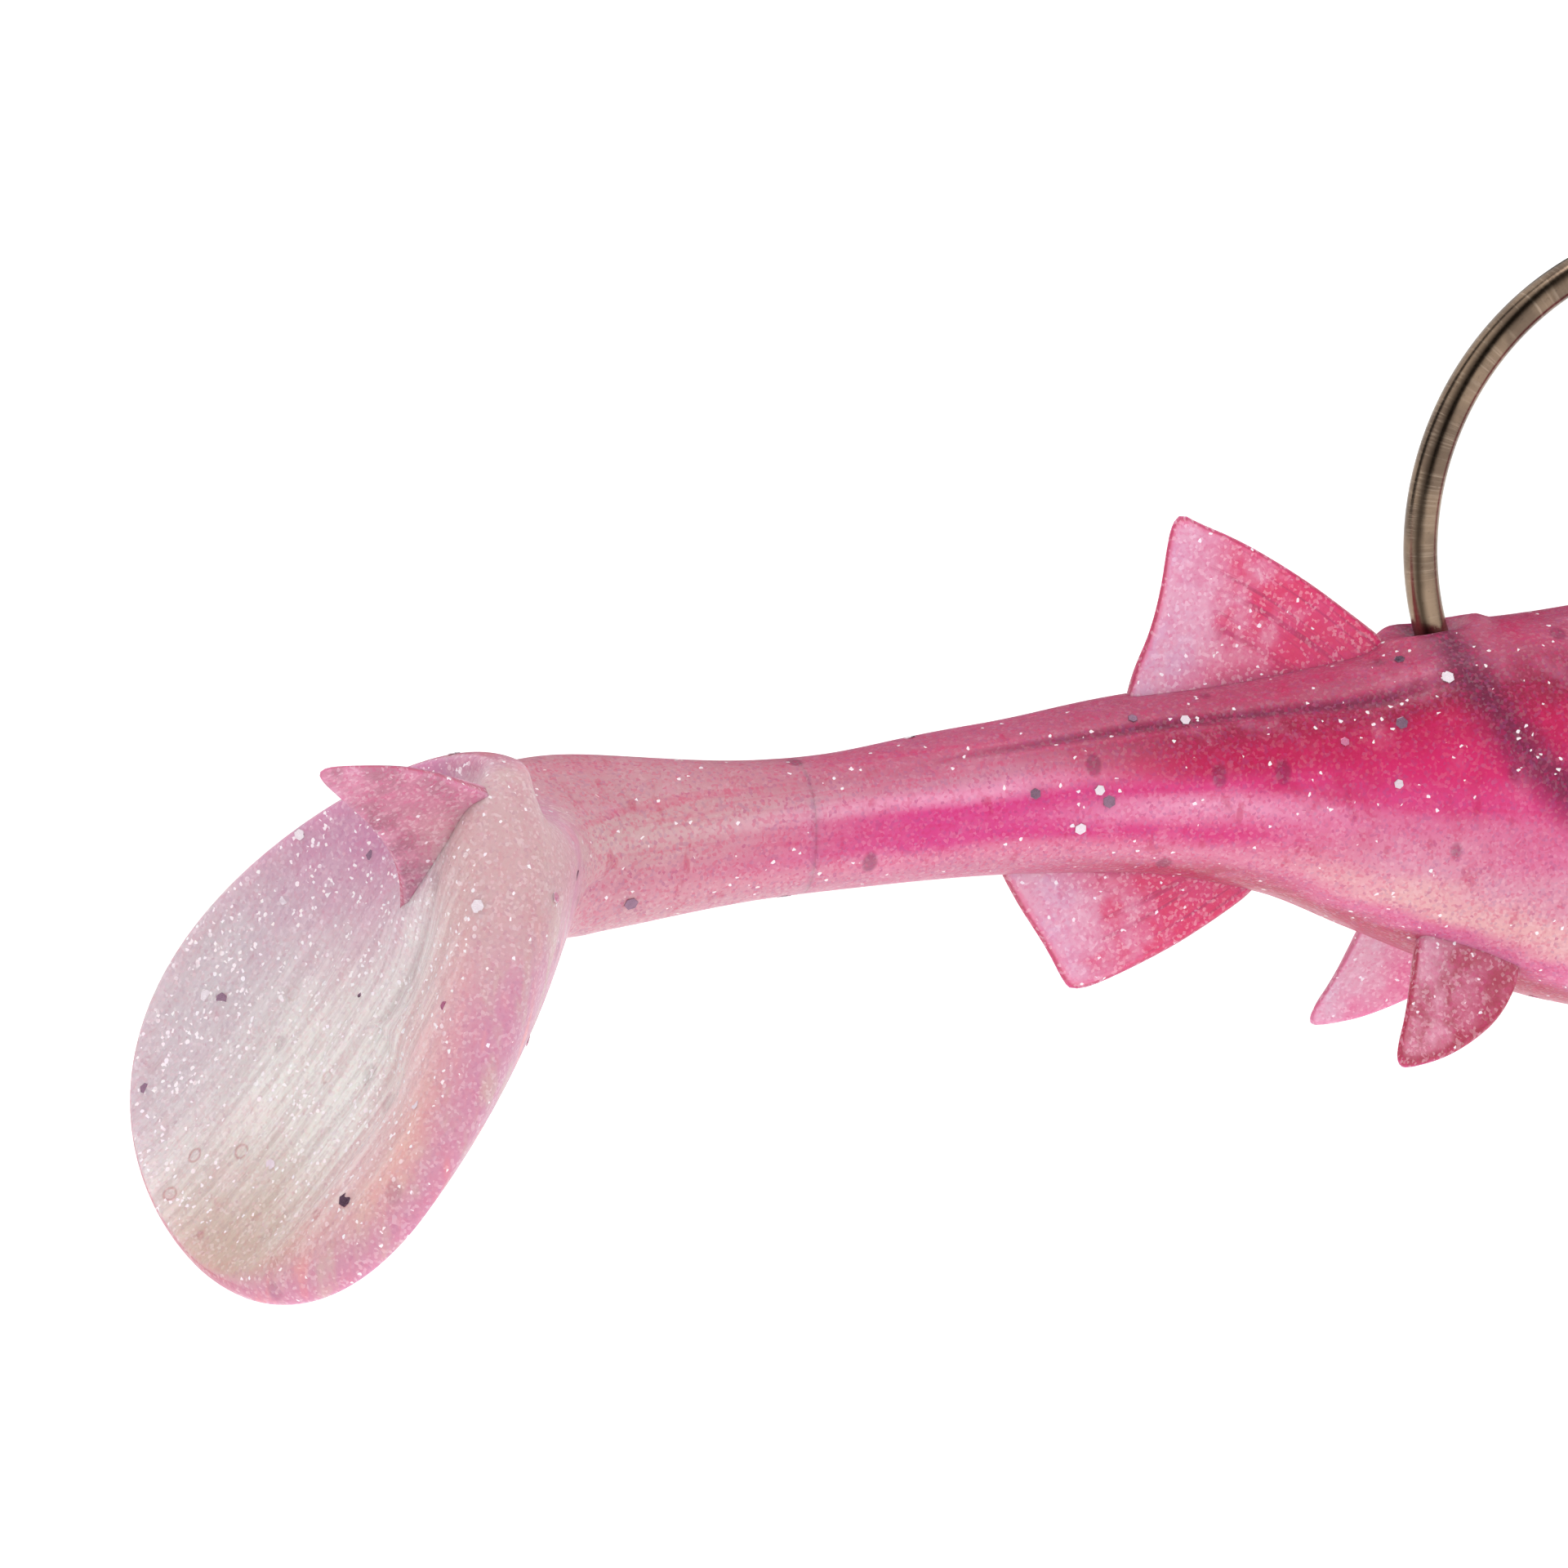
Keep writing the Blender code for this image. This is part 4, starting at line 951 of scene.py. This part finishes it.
def hookPiece():
    # wire along the line eye, leg, corner and bend as arcs, then the point, tapering as distance^0.75; a barb
    h = hook
    r = h["ring"]
    eye = arcPoints((0, 0), r, -60, 222, 60)
    leg = np.array([[-0.55, 0, -1.75], [-0.15, 0, -2.25], [0, 0, -2.9], [0, 0, -3.6]])
    corner = arcPoints((-h["legBend"], h["legBend"] + h["shankZ"]), h["legBend"], 0, -90, 20)
    bend = arcPoints((h["bendMiddle"], h["bendRadius"] + h["shankZ"]), h["bendRadius"], -90, -270, 120)
    top = bend[-1]
    tip = top + [h["pointLeg"], 0, -h["pointDrop"]]
    line, _ = evenPath(np.vstack([eye, leg, corner, bend, tip[None]]), 0.1)
    line, far = evenPath(softPath(line, 25), h["step"])
    left = far[-1] - far
    radii = h["wire"] / 2 * (0.05 + 0.95 * np.clip(left / h["taper"], 0, 1) ** 0.75)
    radii *= np.sqrt(np.clip((far + 0.03) / 0.22, 0, 1))
    grid = wireGrid(line, radii, h["around"])
    turn = np.linspace(0, 1, h["around"], endpoint=False)
    marks = spread(grid.shape[:2], far[:, None], np.sin(turn * 2 * pi), turn)
    piece = closedGrid("hookWire", grid, hookMaterial, dict(wire=marks), sharp=60)
    back = unit(top - tip)
    barbTip = tip + back * h["barbBack"] - [0, 0, h["wire"] * 0.85]
    root = tip + back * (h["barbBack"] - h["barbLong"] - 0.5) - [0, 0, 0.05]
    share = np.linspace(0, 1, 30)
    path = root + (barbTip - root) * share[:, None] + np.array([0, 0, 0.16]) * np.sin(pi * share)[:, None]
    barbGrid = wireGrid(path, 0.4 * np.sqrt(np.clip(1.02 - share, 0.02, 1)), 24, flat=0.8)
    marks = spread(barbGrid.shape[:2], share[:, None] * 2, 0, 0)
    barb = closedGrid("hookBarb", barbGrid, hookMaterial, dict(wire=marks), sharp=60)
    return piece, barb


hookMaterial = hookShade()
hookWire, hookBarb = hookPiece()
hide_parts("hook")
for piece in (hookWire, hookBarb):
    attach(piece, "rigged_body")
print("hook made")


eyes = dict(radius=2.2, foilInner=3.35, foilOuter=3.65, domeInner=3.8, domeHigh=1.1, pupil=0.42,
            gold=(214, 190, 150), silver=(214, 216, 220), rimRed=(150, 60, 70), black=(12, 12, 14))


def foilShade():
    # a dark pupil, a pale ring round it, silver foil with fine radial streaks and a reddish rim
    shade = Shade("eyeFoil", eyes, Metallic=0.7)
    paint = shade.paint
    reach, turnX, turnZ = parts(shade.attribute("iris"))
    ray = noise(vector(turnX * 9.0, turnZ * 9.0, reach * 0.6), 1.0, 4.0, 0.7)
    shade.color = mix(ease(0.35, 0.65, ray), "silver", "gold")
    paint(ease(0.74, 0.98, reach) * 0.8, "rimRed")
    paint(ease(eyes["pupil"] + 0.02, eyes["pupil"], reach), "black")
    return shade.finish(ray * 0.25 + 0.15, ray, 0.5, 0.00002)


def domeShade():
    shade = Shade("eyeResin", Base_Color=(0.98, 0.98, 0.97, 1.0), Transmission_Weight=1.0, IOR=1.5)
    fine = noise(shade.attribute("place"), 2.5, 4.0)
    return shade.finish(fine * 0.04 + 0.01, fine, 0.15, 0.00001)


def eyePiece(name, side, radii, heights, material):
    # a profile of radius and height turned round the eye's own axis
    turn = turns(64)
    c, s = np.cos(turn), np.sin(turn)
    rings, shape = radii[:, None], (len(radii), 64)
    grid = spread(shape, head["eyeX"] + rings * c, side * heights[:, None], head["eyeZ"] + rings * s)
    iris = spread(shape, rings / eyes["radius"], c, s)
    piece = closedGrid(name, grid, material, dict(iris=iris), sharp=50)
    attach(piece, "rigged_body")
    return piece


foilMaterial, domeMaterial = foilShade(), domeShade()
r, inner, outer, base = (eyes[key] for key in ("radius", "foilInner", "foilOuter", "domeInner"))
share, curve = np.linspace(0.02, 1, 24), np.linspace(0.02, pi / 2, 24)
for side, word in ((1, "left"), (-1, "right")):
    radii = np.concatenate([share * r * 0.97, [r, r], share[::-1] * r * 0.98])
    dish = outer - 0.1 * (1 - share**2) ** 2
    heights = np.concatenate([dish, [outer - 0.05, inner + 0.05], np.full(24, inner)])
    foil = eyePiece("eyeFoil" + word.title(), side, radii, heights, foilMaterial)
    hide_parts("eye_foil_" + word)
    radii = np.concatenate([np.sin(curve) * r, [r, r * 0.97], share[::-1] * r * 0.95])
    crown = base + eyes["domeHigh"] * (0.25 + 0.75 * np.cos(curve))
    heights = np.concatenate([crown, [base + 0.06, base], np.full(24, base)])
    dome = eyePiece("eyeDome" + word.title(), side, radii, heights, domeMaterial)
    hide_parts("eye_dome_" + word)
print("eyes made")


lead = dict(grey=(96, 98, 102), pale=(150, 152, 156), pit=(60, 60, 64))


def leadShade():
    # dull grey cast metal: cloudy oxide, small pits, brighter rubbed places
    shade = Shade("dullCastLead", lead, Metallic=0.9)
    place = shade.make("TexCoord", {}, {}, "Object")
    cloud = noise(place, 420.0, 5.0, 0.6)
    pitFar, pit = cells(place, 1500.0)
    shade.color = mix(ease(0.35, 0.65, cloud), "grey", "pale")
    shade.paint(ease(0.3, 0.12, pitFar) * pit[0].above(0.6) * 0.6, "pit")
    return shade.finish(cloud * 0.3 + 0.4, cloud - ease(0.3, 0.1, pitFar) * 0.4, 0.6, 0.00005)


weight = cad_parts["lead_weight"].data
weight.materials.clear()
weight.materials.append(leadShade())
print("cast weight finished")


studio = dict(
    floorZ=-0.06, floorHalf=4.0, floorColor=(0.94, 0.94, 0.94, 1), floorPale=(0.97, 0.97, 0.97, 1),
    floorGlow=0.33, worldBright=1.15, worldDim=0.03,
    keyLight=dict(place=(-0.18, -0.42, 0.4), size=0.3, power=0.42, glossy=False),
    topLight=dict(place=(-0.05, -0.05, 0.55), size=0.25, power=0.6, glossy=True),
    target=(-0.0659, 0.0, -0.00395), azimuth=-20.0, elevation=10.0, distance=0.4, lens=267.9,
)


def floorPiece():
    half, z = studio["floorHalf"], studio["floorZ"]
    data = bpy.data.meshes.new("studioFloor")
    corners = [(-half, -half, z), (half, -half, z), (half, half, z), (-half, half, z)]
    data.from_pydata(corners, [], [(0, 1, 2, 3)])
    glow = studio["floorGlow"]
    shade = Shade("paleFloor", Roughness=0.9, Emission_Color=(1, 1, 1, 1), Emission_Strength=glow)
    grain = noise(shade.make("TexCoord", {}, {}, "Object"), 3.0, 2.0)
    shade.color = mix(grain * 0.1, studio["floorColor"], studio["floorPale"])
    data.materials.append(shade.finish())
    addObject("studioFloor", data)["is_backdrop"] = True


def softLight(name, place, size, power, glossy):
    data = bpy.data.lights.new(name, "AREA")
    data.shape, data.size, data.energy = "DISK", size, power
    light = addObject(name, data)
    light.location = place
    light.rotation_euler = (Vector(studio["target"]) - Vector(place)).to_track_quat("-Z", "Y").to_euler()
    light.visible_glossy = glossy


def studioWorld():
    # bright but for four dim upright bands, for polished wire to mirror
    world = bpy.data.worlds.new("studioWorld")
    bpy.context.scene.world = world
    shade = Shade("", world=world)
    east, north, _ = parts(shade.make("TexCoord", {}, {}, "Generated"))
    bands = (north.sum("ARCTAN2", east) * 4.0 + radians(80)).sum("COSINE")
    bright, dim = studio["worldBright"], studio["worldDim"]
    strength = ease(0.35, 0.75, bands) * (dim - bright) + bright
    shade.surface.inputs["Color"].default_value = (1, 1, 1, 1)
    shade.tree.links.new(strength.socket, shade.surface.inputs["Strength"])


def studioCamera():
    a, e = radians(studio["azimuth"]), radians(studio["elevation"])
    back = Vector((sin(a) * cos(e), -cos(a) * cos(e), sin(e)))
    data = bpy.data.cameras.new("studioCamera")
    data.lens, data.sensor_width, data.clip_start = studio["lens"], 36.0, 0.01
    camera = addObject("studioCamera", data)
    camera.location = Vector(studio["target"]) + back * studio["distance"]
    camera.rotation_euler = (-back).to_track_quat("-Z", "Y").to_euler()
    bpy.context.scene.camera = camera


floorPiece()
for name in ("keyLight", "topLight"):
    softLight(name, **studio[name])
studioWorld()
studioCamera()
bpy.context.scene.view_settings.view_transform = "Standard"
print("stage set")

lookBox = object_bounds()
for word, box in (("CAD", cadBox), ("looks", lookBox)):
    print(word, "box", [[round(v * 1000, 2) for v in corner] for corner in box])
